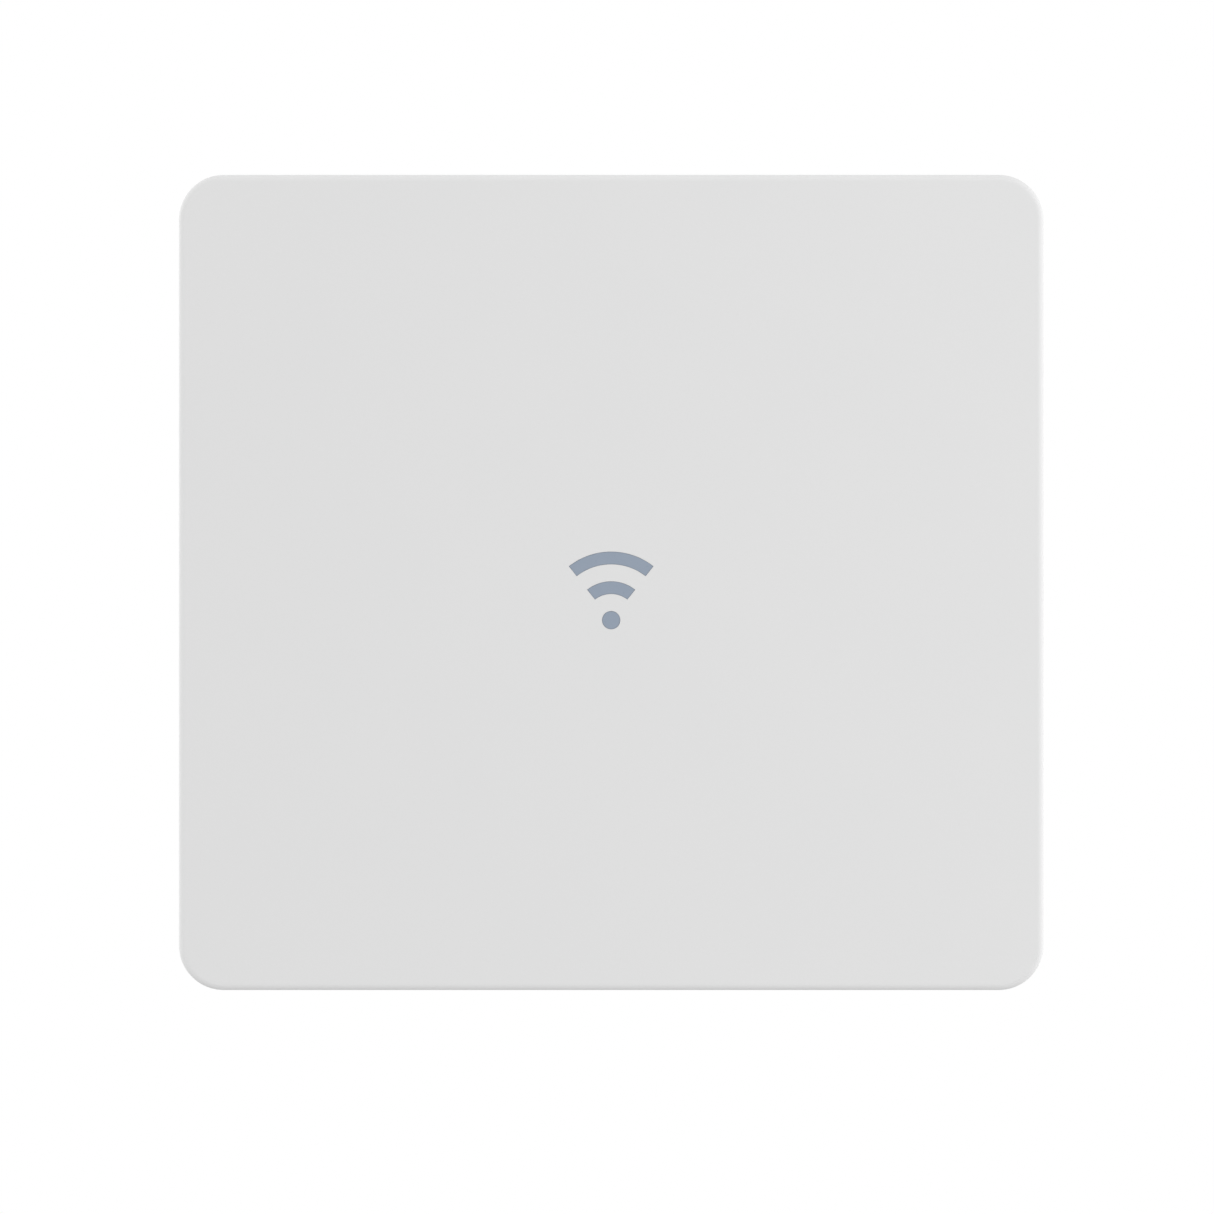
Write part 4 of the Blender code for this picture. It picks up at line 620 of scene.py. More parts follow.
def make_cover():
    bm = bmesh.new()
    top = COVER_HIGH.z
    profile = [(0.25, top), (0.07, top - 0.07), (0, top - 0.25), (0, FACE_Z + FACE_EDGE + 0.8)]
    steps = 10
    for step in range(steps + 1):
        angle = pi / 2 * step / steps
        inset = FACE_EDGE * (1 - cos(angle))
        profile.append((inset, FACE_Z + FACE_EDGE * (1 - sin(angle))))
    profile.append((FACE_EDGE + 0.6, FACE_Z))
    outer = loft(bm, [body_ring(inset, z) for inset, z in profile])
    profile = [(-0.2, top), (0, top - 0.2), (0, INSIDE_Z + 1.2), (0.35, INSIDE_Z + 0.35), (1.2, INSIDE_Z)]
    inner = loft(bm, [body_ring(COVER_WALL + inset, z) for inset, z in profile])
    for loops in (outer, inner):
        cap = next(f for f in loops[0][0].link_faces if set(f.verts) == set(loops[0]))
        bm.faces.remove(cap)
    count = len(outer[0])
    for n in range(count):
        m = (n + 1) % count
        bm.faces.new((outer[0][m], outer[0][n], inner[0][n], inner[0][m]))
    cover = finished("cover_moulding", bm, COVER)
    for points in mark_outlines(GUIDE_GAP):
        rings = [flat_ring(points, FACE_Z - 1), flat_ring(points, INSIDE_Z + 1)]
        subtract(cover, lofted("mark_cutter", rings, COVER))
    even_normals(cover)
    placed(cover, "cover_plastic", "front_cover")


def make_bosses():
    """Screw bosses and stakes moulded on the inside of the face."""
    with piece("cover_bosses", COVER, "cover_plastic") as bm:
        for number in range(1, 7):
            middle, low, _ = box_of(f"housing_screw_{number}")
            profile = [(5.2, INSIDE_Z), (4.3, INSIDE_Z + 0.9), (4.0, INSIDE_Z + 2), (3.9, BOSS_Z - 0.3)]
            profile += [(3.6, BOSS_Z), (1.9, BOSS_Z), (1.8, BOSS_Z - 0.2), (1.8, low.z - 0.3)]
            add_lathe(bm, profile, middle, 40)
        for side_x, side_y in CORNERS:
            top = INSIDE_Z + 3.2
            profile = [(1.3, INSIDE_Z), (1.0, INSIDE_Z + 0.4), (1.0, top - 0.2), (0.8, top)]
            add_lathe(bm, profile, (MARK.x + side_x * 15, MARK.y + side_y * 12), 24)


def make_guide():
    edge = 0.12
    base_z = INSIDE_Z + 0.3
    face = FACE_Z + 0.02
    with piece("status_mark_guide", GUIDE, "light_guide", "status_light_guide") as bm:
        base = outline(GUIDE_HIGH.x - MARK.x, GUIDE_HIGH.y - MARK.y, 2, 8, MARK)
        loft(bm, [flat_ring(base, base_z), flat_ring(base, GUIDE_HIGH.z)])
        for points, inner in zip(mark_outlines(0), mark_outlines(-edge)):
            rings = [flat_ring(inner, face), flat_ring(points, face + edge)]
            loft(bm, rings + [flat_ring(points, base_z + 0.5)])


make_cover()
make_bosses()
make_guide()


# Screws and studs, with their threads cut as a helix

RING = 48  # points in each ring of a screw
SCREW_HEAD = 2.4
STUD_HEAD = 2
STUD_SHOULDER = 4.3  # from the tip to the shoulder
STANDOFF_THREAD = 10
PLATE_SCREW_HEAD = 1.6
GROUND_SCREW_HEAD = 2.6


def shaped_ring(centre, z, reach):
    """A level ring whose nth point lies reach(n) from the centre."""
    ring = []
    for n in range(RING):
        angle = tau * n / RING
        x = centre[0] + reach(n) * cos(angle)
        ring.append((x, centre[1] + reach(n) * sin(angle), z))
    return ring


def round_ring(centre, radius, z):
    return shaped_ring(centre, z, lambda n: radius)


def thread_rings(centre, radius, depth, pitch, start, stop, share=5):
    """A threaded shank, each ring deepest where the groove passes, with share rings to a pitch."""

    def reach(n):
        phase = (z / pitch - n / RING) % 1
        return radius - depth * (1 - abs(2 * phase - 1))

    rings = []
    z = start
    while z < stop:
        rings.append(shaped_ring(centre, z, reach))
        z += pitch / share
    return rings


def polygon_ring(centre, across, corners, z):
    sector = tau / corners

    def reach(n):
        inside = (tau * n / RING % sector) - sector / 2
        return across * cos(sector / 2) / cos(inside)

    return shaped_ring(centre, z, reach)


def cross_ring(centre, across, z):
    def reach(n):
        dent = 0.72 * abs(sin(2 * tau * n / RING)) ** 0.6
        return across * max(1 - dent, 0.2)

    return shaped_ring(centre, z, reach)


def screw_rings(centre, tip, under, top, shank, head, pitch, socket, cross=False):
    """Rings from the tip, up the threads, round a pan head and down into its socket."""
    start = tip + pitch
    rings = [round_ring(centre, shank * 0.55, tip), round_ring(centre, shank * 0.92, start)]
    rings += thread_rings(centre, shank, pitch * 0.45, pitch, start, under - pitch)
    height = top - under
    edge = min(0.3 * height, 0.5)
    profile = [(shank, under - pitch * 0.6), (shank, under), (head - 0.08, under), (head, under + 0.1)]
    profile += [(head, top - edge), (head - edge * 0.3, top - edge * 0.3), (head - edge, top)]
    profile.append((socket * 1.25, top))
    rings += [round_ring(centre, radius, z) for radius, z in profile]
    floor = top - min(height * 0.62, 1.5)
    for share, z in ((1.08, top - 0.06), (1, top - 0.16), (0.7 if cross else 1, floor)):
        if cross:
            rings.append(cross_ring(centre, socket * share, z))
        else:
            rings.append(polygon_ring(centre, socket * share, 6, z))
    return rings


def housing_screw(middle, low, high):
    return screw_rings(middle, low.z, high.z - SCREW_HEAD, high.z, 1.5, 3, 1.2, 1.4)


def stud(middle, low, high):
    under, top = high.z - STUD_HEAD, high.z
    shoulder = low.z + STUD_SHOULDER
    rings = [round_ring(middle, 1.1, low.z)]
    rings += thread_rings(middle, 1.7, 0.34, 0.8, low.z + 0.5, shoulder - 0.5)
    profile = [(1.5, shoulder - 0.3), (1.5, shoulder), (2.35, shoulder), (2.5, shoulder + 0.15)]
    profile += [(2.5, under - 0.2), (2.7, under), (4.3, under), (4.5, under + 0.2)]
    profile += [(4.5, top - 0.7), (4.2, top - 0.25), (3.7, top), (2.1, top)]
    rings += [round_ring(middle, radius, z) for radius, z in profile]
    socket = ((1.95, top - 0.1), (1.85, top - 0.2), (1.85, top - 1.3))
    return rings + [polygon_ring(middle, across, 6, z) for across, z in socket]


def standoff(middle, low, high):
    """A hexagonal spacer with a bore below and a thread above."""
    top = high.z - STANDOFF_THREAD
    across = high.x - middle.x
    profile = [(1.5, 64, low.z + 4.4), (1.5, 64, low.z + 0.2), (1.7, 64, low.z)]
    profile += [(across * 0.86, 64, low.z), (across, 6, low.z + 0.35), (across, 6, top - 0.35)]
    profile += [(across * 0.86, 64, top), (1.2, 64, top)]
    rings = [polygon_ring(middle, reach, corners, z) for reach, corners, z in profile]
    rings += thread_rings(middle, 1.3, 0.22, 0.5, top + 0.3, high.z - 0.4, 4)
    return rings + [round_ring(middle, 0.9, high.z)]


def plate_screw(middle, low, high):
    """A screw that is driven from below, so its rings are turned over."""
    under = high.z - PLATE_SCREW_HEAD
    rings = screw_rings(middle, low.z, under, high.z, 1.05, 2.5, 0.5, 1.3, cross=True)
    return [[(x, y, 2 * middle.z - z) for x, y, z in reversed(ring)] for ring in rings]


def make_turned(node, name, number, rings):
    """Makes a turned part from what rings gives for its CAD node's box."""
    node = f"{node}_{number}"
    with piece(f"{name}_{number}", STEEL, "zinc_steel", node) as bm:
        loft(bm, rings(*box_of(node)))


def make_ground_screw():
    middle, low, high = box_of("ground_screw")
    under = high.y - GROUND_SCREW_HEAD
    screw = screw_rings((0, 0), low.y, under, high.y, 2, 3.6, 0.7, 2, cross=True)
    wall = under - 0.28
    washer = []
    for radius, level, wave in ((2.3, 0, 0), (3.3, 0, 0.25), (3.3, 0.26, 0.25), (2.3, 0.26, 0)):
        washer.append(shaped_ring((0, 0), wall + level, lambda n: radius + wave * (1 if n % 4 < 2 else -1)))
    with piece("ground_screw_and_washer", STEEL, "zinc_steel", "ground_screw") as bm:
        for rings, closed in ((screw, False), (washer, True)):
            loft(bm, [[(middle.x + x, z, middle.z + y) for x, y, z in ring] for ring in rings], closed)


for index in range(1, 7):
    make_turned("housing_screw", "cover_screw", index, housing_screw)
for index in range(1, 5):
    make_turned("mounting_stud", "keyhole_stud", index, stud)
    make_turned("board_standoff", "hex_standoff", index, standoff)
    make_turned("plate_screw", "plate_fixing", index, plate_screw)
make_ground_screw()


# Network jacks

SHEET = 0.35  # the jack's shell
MOUTH_HALF = 5.9
MOUTH_HEIGHT = 7.6
MOUTH_FLOOR = 3.8  # above the jack's floor
LIGHT_X = 6.0  # from the jack's middle to its lights
WIRE_RADIUS = 0.22
WIRES = 8


def make_jack(which):
    node = f"ethernet_jack_{which}"
    middle, low, high = box_of(node)
    x, front, floor = middle.x, high.y, low.z
    shell = box_object(f"jack_shell_{which}", low, high, TIN, 0.45)
    pocket_low = (low.x + SHEET, low.y + SHEET, low.z + SHEET)
    cut_boxes(shell, (pocket_low, (high.x - SHEET, front + 1, high.z - SHEET)))
    bm = bmesh.new()
    bm.from_mesh(shell.data)
    for side in SIDES:
        wall = x + side * (high.x - x)
        outer = sorted((wall, wall - side * 0.25))
        for level in (floor + 3.2, floor + 9.0):
            add_box(bm, (outer[0], low.y + 4, level), (outer[1], low.y + 9, level + 1.6), 0.1)
    bm.to_mesh(shell.data)
    bm.free()
    placed(shell, "tinplate", node)

    inset = SHEET + 0.02
    insert_low = (low.x + inset, low.y + 0.4, low.z + inset)
    insert_high = (high.x - inset, front - 0.3, high.z - inset)
    insert = box_object(f"jack_insert_{which}", insert_low, insert_high, BLACK, 0.12)
    mouth = floor + MOUTH_FLOOR
    lights = [x - LIGHT_X, x + LIGHT_X]
    cut_boxes(
        insert,
        across_x(x, MOUTH_HALF, (front - 15, front + 1), (mouth, mouth + MOUTH_HEIGHT)),
        across_x(x, 3, (front - 12, front + 1), (mouth - 1.4, mouth + 1)),
        across_x(x, 1.7, (front - 12, front + 1), (mouth - 2.4, mouth + 1)),
        *[across_x(at, 1.25, (front - 2.2, front + 1), (floor + 0.9, floor + 2.7)) for at in lights],
    )
    placed(insert, "chip_resin")
    with piece(f"jack_lights_{which}", LENS_GREEN, "led_resin") as bm:
        for at in lights:
            box = across_x(at, 1.2, (front - 2.1, front - 0.45), (floor + 0.95, floor + 2.65))
            add_box(bm, *box, 0.2)

    contacts = f"jack_contacts_{which}"
    middle, low, high = box_of(contacts)
    top, back, tip = high.z - WIRE_RADIUS, low.y + WIRE_RADIUS, high.y - WIRE_RADIUS
    route = [(back, top), (back + 2, top), (tip - 1.2, top), (tip - 0.5, top - 0.06)]
    route += [(tip - 0.12, top - 0.24), (tip, top - 0.5), (tip - 0.14, top - 0.78)]
    route += [(tip - 0.6, top - 1.0), (tip - 3.6, top - 1.75), (back + 1.2, low.z + WIRE_RADIUS)]
    pitch = (high.x - low.x - 0.5) / (WIRES - 1)
    with piece(f"contact_springs_{which}", GOLD, "contact_gold", contacts) as bm:
        for n in range(WIRES):
            add_tube(bm, [(low.x + 0.25 + n * pitch, y, z) for y, z in route], WIRE_RADIUS, 12)


make_jack("main")
make_jack("second")


# Power inlet, reset button and its switch


def make_power_inlet():
    middle, low, high = box_of("dc_power_inlet")
    place = (middle.x, middle.z)
    front = high.y
    block = box_object("inlet_block", low, high, BLACK, 0.35)
    bore = bmesh.new()
    profile = [(3.1, front - 9.5), (3.1, front - 0.35), (3.45, front + 0.05), (3.45, front + 1)]
    add_lathe(bore, profile, place, 64, "Y")
    step_low = (low.x - 1, low.y - 1, high.z - 2.2)
    step = box_object("step", step_low, (high.x + 1, front - 3.2, high.z + 1), BLACK)
    subtract(block, finished("bore", bore, BLACK), step)
    placed(block, "chip_resin", "dc_power_inlet")
    sleeve = [(3.08, front - 9.3), (3.08, front - 0.7), (2.86, front - 0.7), (2.86, front - 9.3)]
    back, tip = front - 9.6, front - 1.2
    pin = [(1.3, back), (1.3, back + 0.6), (1.0, back + 0.8), (1.0, tip - 0.7)]
    pin += [(0.85, tip - 0.25), (0.5, tip - 0.05), (0.2, tip)]
    with piece("inlet_sleeve_and_pin", TIN, "tinplate") as bm:
        loft(bm, [[(x, y, z) for x, z in circle(radius, 64, place)] for radius, y in sleeve], closed=True)
        add_lathe(bm, pin, place, 32, "Y")


def make_reset():
    middle, low, high = box_of("reset_button")
    place = (middle.x, middle.z)
    front, back = high.y, low.y
    profile = [(1.2, back), (2.55, back), (2.7, back + 0.15), (2.7, back + 0.85), (2.55, back + 1)]
    profile += [(1.85, back + 1), (1.75, back + 1.1), (1.75, front - 0.35), (1.66, front - 0.12)]
    profile += [(1.45, front), (1.15, front - 0.02), (0.8, front - 0.12), (0.3, front - 0.2)]
    with piece("reset_key", BUTTON, "button_plastic", "reset_button", body="button") as bm:
        add_lathe(bm, profile, place, 48, "Y")


def make_switch():
    height = box_of("reset_button")[0].z
    middle, low, high = box_of("reset_switch")
    front = high.y - 1.5
    with piece("tact_switch", BLACK, "chip_resin", "reset_switch") as bm:
        add_box(bm, low, (high.x, front, high.z), 0.25)
        profile = [(1.75, front - 0.4), (1.75, high.y - 0.2), (1.55, high.y)]
        add_lathe(bm, profile, (middle.x, height), 32, "Y")
    plate = front + 0.3
    with piece("tact_switch_plate", TIN, "tinplate") as bm:
        add_box(bm, (low.x + 0.1, front, low.z + 0.1), (high.x - 0.1, plate, high.z - 0.1), 0.1)
        for x in (low.x + 0.8, high.x - 0.8):
            for z in (low.z + 0.8, high.z - 0.8):
                rivet = [(0.45, plate - 0.1), (0.45, plate + 0.15), (0.3, plate + 0.25)]
                add_lathe(bm, rivet, (x, z), 16, "Y")


make_power_inlet()
make_reset()
make_switch()


# Radio shields: a soldered frame with a clipped-on lid

SKIRT = 2.3  # height of the lid's sides
SLOT_PITCH = 3.1
DIMPLE_PITCH = 6.2


def along_sides(centre, half, pitch, shift=0.0, out=0.0):
    """Places a pitch apart along a rectangle's four sides, each with the axis of its side."""
    for axis in (0, 1):
        count = int(half[axis] / pitch)
        for n in range(-count, count + 1):
            for side in SIDES:
                place = [0, 0]
                place[axis] = centre[axis] + n * pitch + shift
                place[1 - axis] = centre[1 - axis] + side * (half[1 - axis] + out)
                yield axis, place


def make_shield(band):
    node = f"rf_shield_{band}_band"
    middle, low, high = box_of(node)
    half = high - middle
    top, skirt = high.z, high.z - SKIRT
    profile = [(0.2, top - 0.2), (0.2, skirt), (0, skirt), (0, top - 0.4), (0.12, top - 0.12), (0.4, top)]
    rings = [outline_ring(middle, half, inset, 0.8, z) for inset, z in profile]
    lid = lofted(f"shield_lid_{band}", rings, TIN)
    slots = bmesh.new()
    for axis, (x, y) in along_sides(middle, half, SLOT_PITCH, -0.8):
        a, b = (0.17, 0.5) if axis == 0 else (0.5, 0.17)
        add_box(slots, (x - a, y - b, skirt - 1), (x + a, y + b, top - 0.7))
    subtract(lid, finished("slots", slots, TIN))
    placed(lid, "tinplate", node)

    walls = [(0.24, low.z), (0.24, top - 0.5), (0.42, top - 0.5), (0.42, low.z)]
    with piece(f"shield_frame_{band}", TIN, "tinplate") as bm:
        loft(bm, [outline_ring(middle, half, inset, 0.8, z) for inset, z in walls], closed=True)
        for _, (x, y) in along_sides(middle, half, DIMPLE_PITCH, out=0.02):
            dimple = bmesh.new()
            bmesh.ops.create_uvsphere(dimple, u_segments=12, v_segments=6, radius=0.32)
            bmesh.ops.translate(dimple, verts=dimple.verts, vec=(x, y, skirt + 0.9))
            add_copy(bm, dimple)


make_shield("low")
make_shield("high")


# Power parts on the board

SCORE_HALF = (2.9, 0.16)  # half sizes of the two scores in the capacitor's top
LAYERS = 5  # of the transformer's winding
LAYER_PITCH = 2.35


def make_capacitor():
    middle, low, high = box_of("power_capacitor")
    x, y = middle.x, middle.y
    half = high.x - x
    base, top = low.z + 1.3, high.z
    bm = bmesh.new()
    profile = [(4.7, base - 0.3), (4.9, base + 0.4), (4.9, base + 1.2), (4.55, base + 1.5)]
    profile += [(4.55, base + 1.9), (4.9, base + 2.2), (4.9, top - 0.7), (4.78, top - 0.25)]
    profile += [(4.5, top), (4.2, top), (4.05, top - 0.2), (0.1, top - 0.2)]
    add_lathe(bm, profile, (x, y), 64)
    can = finished("capacitor_can", bm, CAN)
    for a, b in (SCORE_HALF, SCORE_HALF[::-1]):
        cut_boxes(can, ((x - a, y - b, top - 0.34), (x + a, y + b, top + 1)))
    placed(can, "capacitor_can", "power_capacitor")
    corners = [(-1, -1), (0.55, -1), (1, -0.55), (1, 0.55), (0.55, 1), (-1, 1)]
    with piece("capacitor_base", BLACK, "chip_resin") as bm:
        levels = ((half, low.z), (half, base - 0.2), (half - 0.2, base))
        loft(bm, [[(x + size * a, y + size * b, z) for a, b in corners] for size, z in levels])
        for side in SIDES:
            foot = x + side * (half - 0.25)
            add_box(bm, *across_x(foot, 0.3, (y - 0.5, y + 0.5), (low.z, low.z + 0.3)))


def make_inductor():
    middle, low, high = box_of("power_inductor")
    half = high - middle
    top = high.z
    profile = [(0.5, low.z + 0.2), (0.15, low.z + 0.5), (0, low.z + 1), (0, top - 0.9)]
    profile += [(0.25, top - 0.35), (0.8, top - 0.1)]
    rings = [outline_ring(middle, half, inset, 2.6, z, 10) for inset, z in profile]
    core = lofted("inductor_core", rings, FERRITE)
    groove = ((4.9, top + 1), (4.5, top + 1), (4.5, top - 0.45), (4.9, top - 0.45))
    rings = [flat_ring(circle(radius, 64, middle), z) for radius, z in groove]
    subtract(core, lofted("groove", rings, FERRITE, closed=True))
    placed(core, "chip_resin", "power_inductor")
    with piece("inductor_ends", TIN, "tinplate") as bm:
        for side in SIDES:
            end = middle.x + side * (half.x - 1.1)
            y_range = (middle.y - 2.4, middle.y + 2.4)
            add_box(bm, *across_x(end, 1.1, y_range, (low.z, low.z + 0.35)), 0.08)


def make_transformer():
    middle, low, high = box_of("power_transformer")
    x, y = middle.x, middle.y
    corner = (high.x - 2, high.y, high.z)
    core = box_object("transformer_core", (low.x + 2, low.y, low.z + 1.2), corner, FERRITE, 0.35)
    for start, stop in ((y - 5.4, y - 2.6), (y + 2.6, y + 5.4)):
        cut_boxes(core, ((low.x, start, low.z + 2.8), (high.x, stop, high.z - 1.6)))
    seam = across_x(x, 0.06, (low.y - 1, high.y + 1), (low.z, high.z + 1))
    seam = box_object("seam", *seam, FERRITE)
    cut_boxes(seam, ((low.x, low.y + 0.25, low.z), (high.x, high.y - 0.25, high.z - 0.25)))
    subtract(core, seam)
    placed(core, "chip_resin", "power_transformer")
    with piece("transformer_winding", TAPE, "chip_resin") as bm:
        for layer in range(LAYERS):
            start = low.x + 3.2 + layer * LAYER_PITCH
            rings = []
            for inset, at in ((0.3, 0), (0, 0.25), (0, 2.0), (0.3, 2.25)):
                shape = outline(5.3 - inset, 2.35 - inset, 0.9, 6, (y, middle.z + 0.6))
                rings.append([(start + at, a, b) for a, b in shape])
            loft(bm, rings)
    with piece("transformer_bobbin", BLACK, "chip_resin") as bm:
        for start, stop in ((low.x, x - 6.9), (x + 6.9, high.x)):
            add_box(bm, (start, low.y + 1, low.z + 0.9), (stop, high.y - 1, low.z + 3.4), 0.3)
    with piece("transformer_pins", TIN, "tinplate") as bm:
        for side in SIDES:
            for n in range(5):
                at = y + (n - 2) * 2.5
                pin = across_x(x + side * 8.3, 0.35, (at - 0.35, at + 0.35), (low.z, low.z + 1))
                add_box(bm, *pin, 0.06)


make_capacitor()
make_inductor()
make_transformer()


# Small parts on the boards

BOARD_TOP = box_of("processor_package")[1].z - 0.3
BOARD_LOW = box_of("main_board")[1].z
LED_FACE = box_of("status_led")[2].z + 0.3
LEAD_PITCH = 1.27
SMALL, MEDIUM, LARGE = 1.6, 2, 3.2  # lengths of the two-ended parts


def add_passive(bodies, ends, place, length, along_x, face=BOARD_TOP, up=1):
    """A two-ended chip part that stands on a board's face."""
    width, height, cap = length * 0.5, length * 0.45, length * 0.18
    for group, start, stop, grow in (
        (bodies, -length / 2 + cap, length / 2 - cap, 0.0),
        (ends, -length / 2, -length / 2 + cap, 0.02),
        (ends, length / 2 - cap, length / 2, 0.02),
    ):
        across = width / 2 + grow
        spans = ((start, stop), (-across, across))
        (x0, x1), (y0, y1) = spans if along_x else spans[::-1]
        z0, z1 = sorted((face, face + up * (height + grow)))
        low = (place[0] + x0, place[1] + y0, z0)
        add_box(group, low, (place[0] + x1, place[1] + y1, z1), 0.05, 1)


def add_leaded_chip(bodies, ends, place, half, height, leads, along_x):
    """A small-outline package with bent leads on two sides."""
    x, y = place
    a, b = half if along_x else half[::-1]
    add_box(bodies, (x - a, y - b, BOARD_TOP + 0.12), (x + a, y + b, BOARD_TOP + height), 0.12, 1)
    bends = ((0, height * 0.55), (0.35, height * 0.5), (0.45, 0.15), (0.95, 0.12))
    for side in SIDES:
        for n in range(leads):
            step = (n - (leads - 1) / 2) * LEAD_PITCH
            points = []
            for out, level in bends:
                across = side * (half[1] + out)
                spot = (x + step, y + across) if along_x else (x + across, y + step)
                points.append((*spot, BOARD_TOP + level))
            add_tube(ends, points, 0.13, 6)


def add_board_parts(ceramics, chips, ends):
    """Parts round the processor, beside the shields and the power parts, and on the light board."""

    def part(bodies, x, y, length=SMALL, along_x=False):
        add_passive(bodies, ends, (x, y), length, along_x)

    def chip(x, y, half=(2.5, 2), height=1.6, leads=4, along_x=True):
        add_leaded_chip(chips, ends, (x, y), half, height, leads, along_x)

    _, low, high = box_of("processor_package")
    for n in range(10):
        for y in (low.y - 2.2, high.y + 2.2):
            part(ceramics, low.x + 1.5 + 2.35 * n, y)
    for n in range(9):
        for bodies, x in ((ceramics, high.x + 2.2), (chips, low.x - 2.4), (chips, low.x - 5.2)):
            part(bodies, x, low.y + 2.2 + 2.4 * n, along_x=True)
    for side in SIDES:
        for n in range(12):
            bodies = ceramics if n % 3 else chips
            part(bodies, 68 + 3.1 * (n % 4), side * (14 + 4.4 * (n // 4)), along_x=n % 2 == 0)
        for n in range(6):
            part(ceramics, 20 + 7.6 * n, side * 47.5, MEDIUM, n % 2 == 0)
        chip(74, side * 36)
    for n in range(7):
        part(ceramics, -98 + 3.6 * n, 73, LARGE)
        part(chips, -74 + 3.1 * n, 48, MEDIUM)
    chip(-66, 38, height=1.7)
    chip(-56, 38, height=1.7)
    chip(-50, -20, (5.2, 3.8), 2.1, 8)
    chip(-22, -28, along_x=False)
    for x in (-15, 4):
        chip(x, 51, (7.2, 4.2), 4.6, 11)
        for n in range(5):
            part(ceramics, x + (n - 2) * 2.8, 41)
    row = box_of("led_board")[1].y + 5
    for side in SIDES:
        for n in range(3):
            add_passive(chips, ends, (side * (5 + 2.6 * n), row), SMALL, False, LED_FACE, -1)


def make_board_parts():
    with (
        piece("solder_ends", TIN, "tinplate") as ends,
        piece("board_resistors_and_chips", CHIP, "chip_resin") as chips,
        piece("board_capacitors", CERAMIC, "chip_resin") as ceramics,
    ):
        add_board_parts(ceramics, chips, ends)


def make_crystal_and_points():
    top = BOARD_TOP
    can = [(0, top), (0, top + 0.3), (0.12, top + 0.32), (0.14, top + 0.75), (0.3, top + 0.9)]
    with piece("crystal_and_test_points", GOLD, "contact_gold") as bm:
        loft(bm, [outline_ring((-40, -13), (1.6, 1.25), inset, 0.5, z) for inset, z in can])
        for n in range(8):
            add_lathe(bm, [(0.9, top), (0.9, top + 0.05), (0.8, top + 0.08)], (-104, 6 * n - 30), 24)


def make_coax_ends():
    """A crimped plug where each lead leaves the board, and solder where it meets its antenna."""
    with (
        piece("antenna_solder_joints", TIN, "tinplate") as joints,
        piece("coax_plugs", GOLD, "contact_gold") as plugs,
    ):
        for number, (side_x, side_y) in enumerate(CORNERS, 1):
            z = BOARD_LOW
            profile = [(0.95, z - 1.7), (1.0, z - 1.3), (1.3, z - 1.1), (1.3, z - 0.3)]
            profile += [(1.5, z - 0.25), (1.5, z)]
            add_lathe(plugs, profile, (side_x * 24, side_y * 14), 32)
            z = box_of(f"coax_lead_{number}")[1].z
            profile = [(2.0, z - 0.28), (1.9, z - 0.1), (1.2, z + 0.3), (0.85, z + 0.8), (0.72, z + 1.3)]
            add_lathe(joints, profile, box_of(f"patch_antenna_{number}")[0], 32)


make_board_parts()
make_crystal_and_points()
make_coax_ends()


# Latch spring

SPRING_TURNS = 8
CLOSED_SHARE = 0.04  # of the length, taken by the closed turn at each end
SPRING_WIRE = 0.25
SPRING_RADIUS = 1.25
TURN_STEPS = 20


def make_spring():
    middle, low, high = box_of("latch_spring")
    run = high.x - low.x - 2 * SPRING_WIRE
    points = []
    for step in range(SPRING_TURNS * TURN_STEPS + 1):
        turn = step / TURN_STEPS
        if turn < 1:
            share = turn * CLOSED_SHARE
        elif turn > SPRING_TURNS - 1:
            share = 1 - (SPRING_TURNS - turn) * CLOSED_SHARE
        else:
            share = CLOSED_SHARE + (1 - 2 * CLOSED_SHARE) * (turn - 1) / (SPRING_TURNS - 2)
        angle = tau * turn
        y = middle.y + SPRING_RADIUS * cos(angle)
        z = middle.z + SPRING_RADIUS * sin(angle)
        points.append((low.x + SPRING_WIRE + run * share, y, z))
    bm = bmesh.new()
    add_tube(bm, points, SPRING_WIRE, 12)
    spring = placed(finished("latch_return_spring", bm, STEEL), "zinc_steel", "latch_spring")
    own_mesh(spring)


make_spring()


# Carried-over CAD nodes, each with a finish and the radius of its worn edges

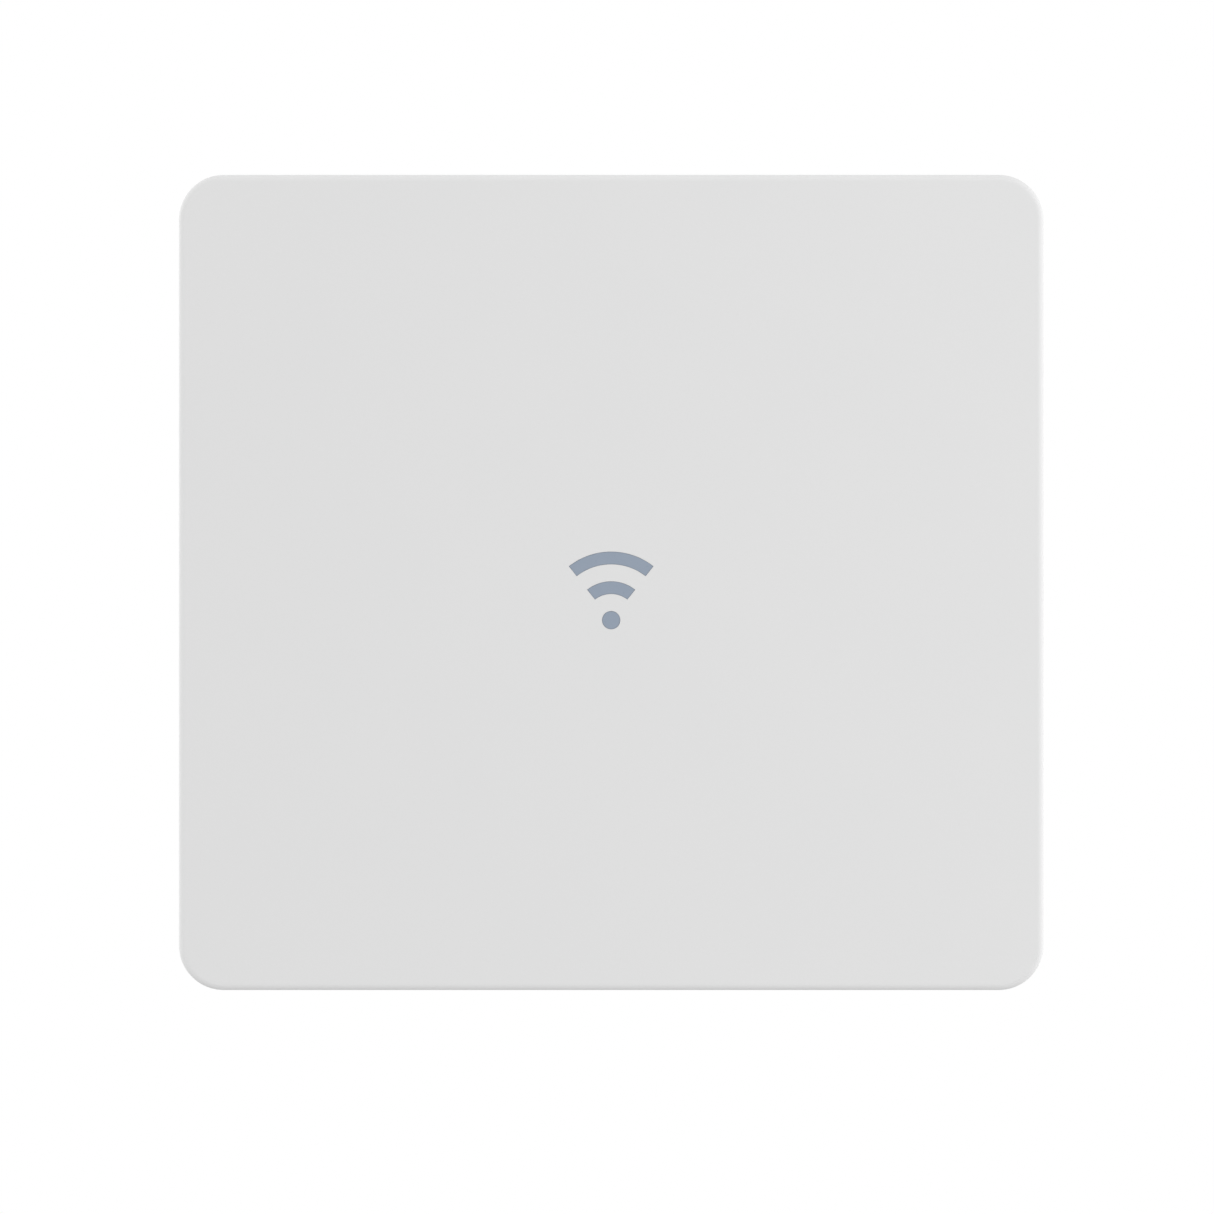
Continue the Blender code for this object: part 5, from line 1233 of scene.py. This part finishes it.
FINISHES = (
    (ZINC, 0.2, "ceiling_bracket"),
    (PAINT, 0.3, "rear_housing"),
    (LATCH, 0.25, "release_latch"),
    (ZINC_LATCH, 0.18, "latch_cover"),
    (MASK, 0.08, "main_board", "led_board"),
    (LED_RESIN, 0.12, "status_led"),
    (CHIP, 0.15, "processor_package"),
    (CHIP, 0.12, "memory_package_1", "memory_package_2"),
    (PAD, 0.15, "thermal_pad_1", "thermal_pad_2", "thermal_pad_3"),
    (TIN, 0.1, "antenna_plate"),
    (COPPER, 0.08, *[f"{kind}_antenna_{n}" for kind in ("patch", "side") for n in range(1, 5)]),
    (JACKET, 0, *[f"coax_lead_{n}" for n in range(1, 5)]),
)


def smooth_nodes(degrees):
    """A node group that shades smooth, except over edges sharper than degrees."""
    group = bpy.data.node_groups.new("smooth_by_angle", "GeometryNodeTree")
    for way in ("INPUT", "OUTPUT"):
        group.interface.new_socket("Geometry", in_out=way, socket_type="NodeSocketGeometry")
    mesh = new_node(group, "NodeGroupInput").outputs["Geometry"]
    angle = new_node(group, "GeometryNodeInputMeshEdgeAngle").outputs["Unsigned Angle"]
    limits = {"A": angle, "B": radians(degrees)}
    blunt = new_node(group, "FunctionNodeCompare", limits, operation="LESS_EQUAL").outputs["Result"]
    faces = new_node(group, "GeometryNodeSetShadeSmooth", {"Geometry": mesh}, domain="FACE")
    inputs = {"Geometry": faces.outputs["Geometry"], "Shade Smooth": blunt}
    edges = new_node(group, "GeometryNodeSetShadeSmooth", inputs, domain="EDGE")
    new_node(group, "NodeGroupOutput", {"Geometry": edges.outputs["Geometry"]})
    return group


SMOOTH_BY_ANGLE = smooth_nodes(33)


def carried(node, material, edge):
    """Gives a CAD node its material and rounds its edges, or all of it if edge is 0."""
    obj = NODES[node]
    obj.data.materials.clear()
    obj.data.materials.append(material)
    modify(obj, "WELD", merge_threshold=0.002 * MM)
    modify(obj, "NODES", node_group=SMOOTH_BY_ANGLE)
    if edge:
        modify(obj, "BEVEL", width=edge * MM, segments=2, limit_method="ANGLE", angle_limit=radians(35))
        even_normals(obj)
    else:
        modify(obj, "SUBSURF", levels=2, render_levels=2)


for finish, edge_radius, *carried_nodes in FINISHES:
    for node_name in carried_nodes:
        carried(node_name, finish, edge_radius)
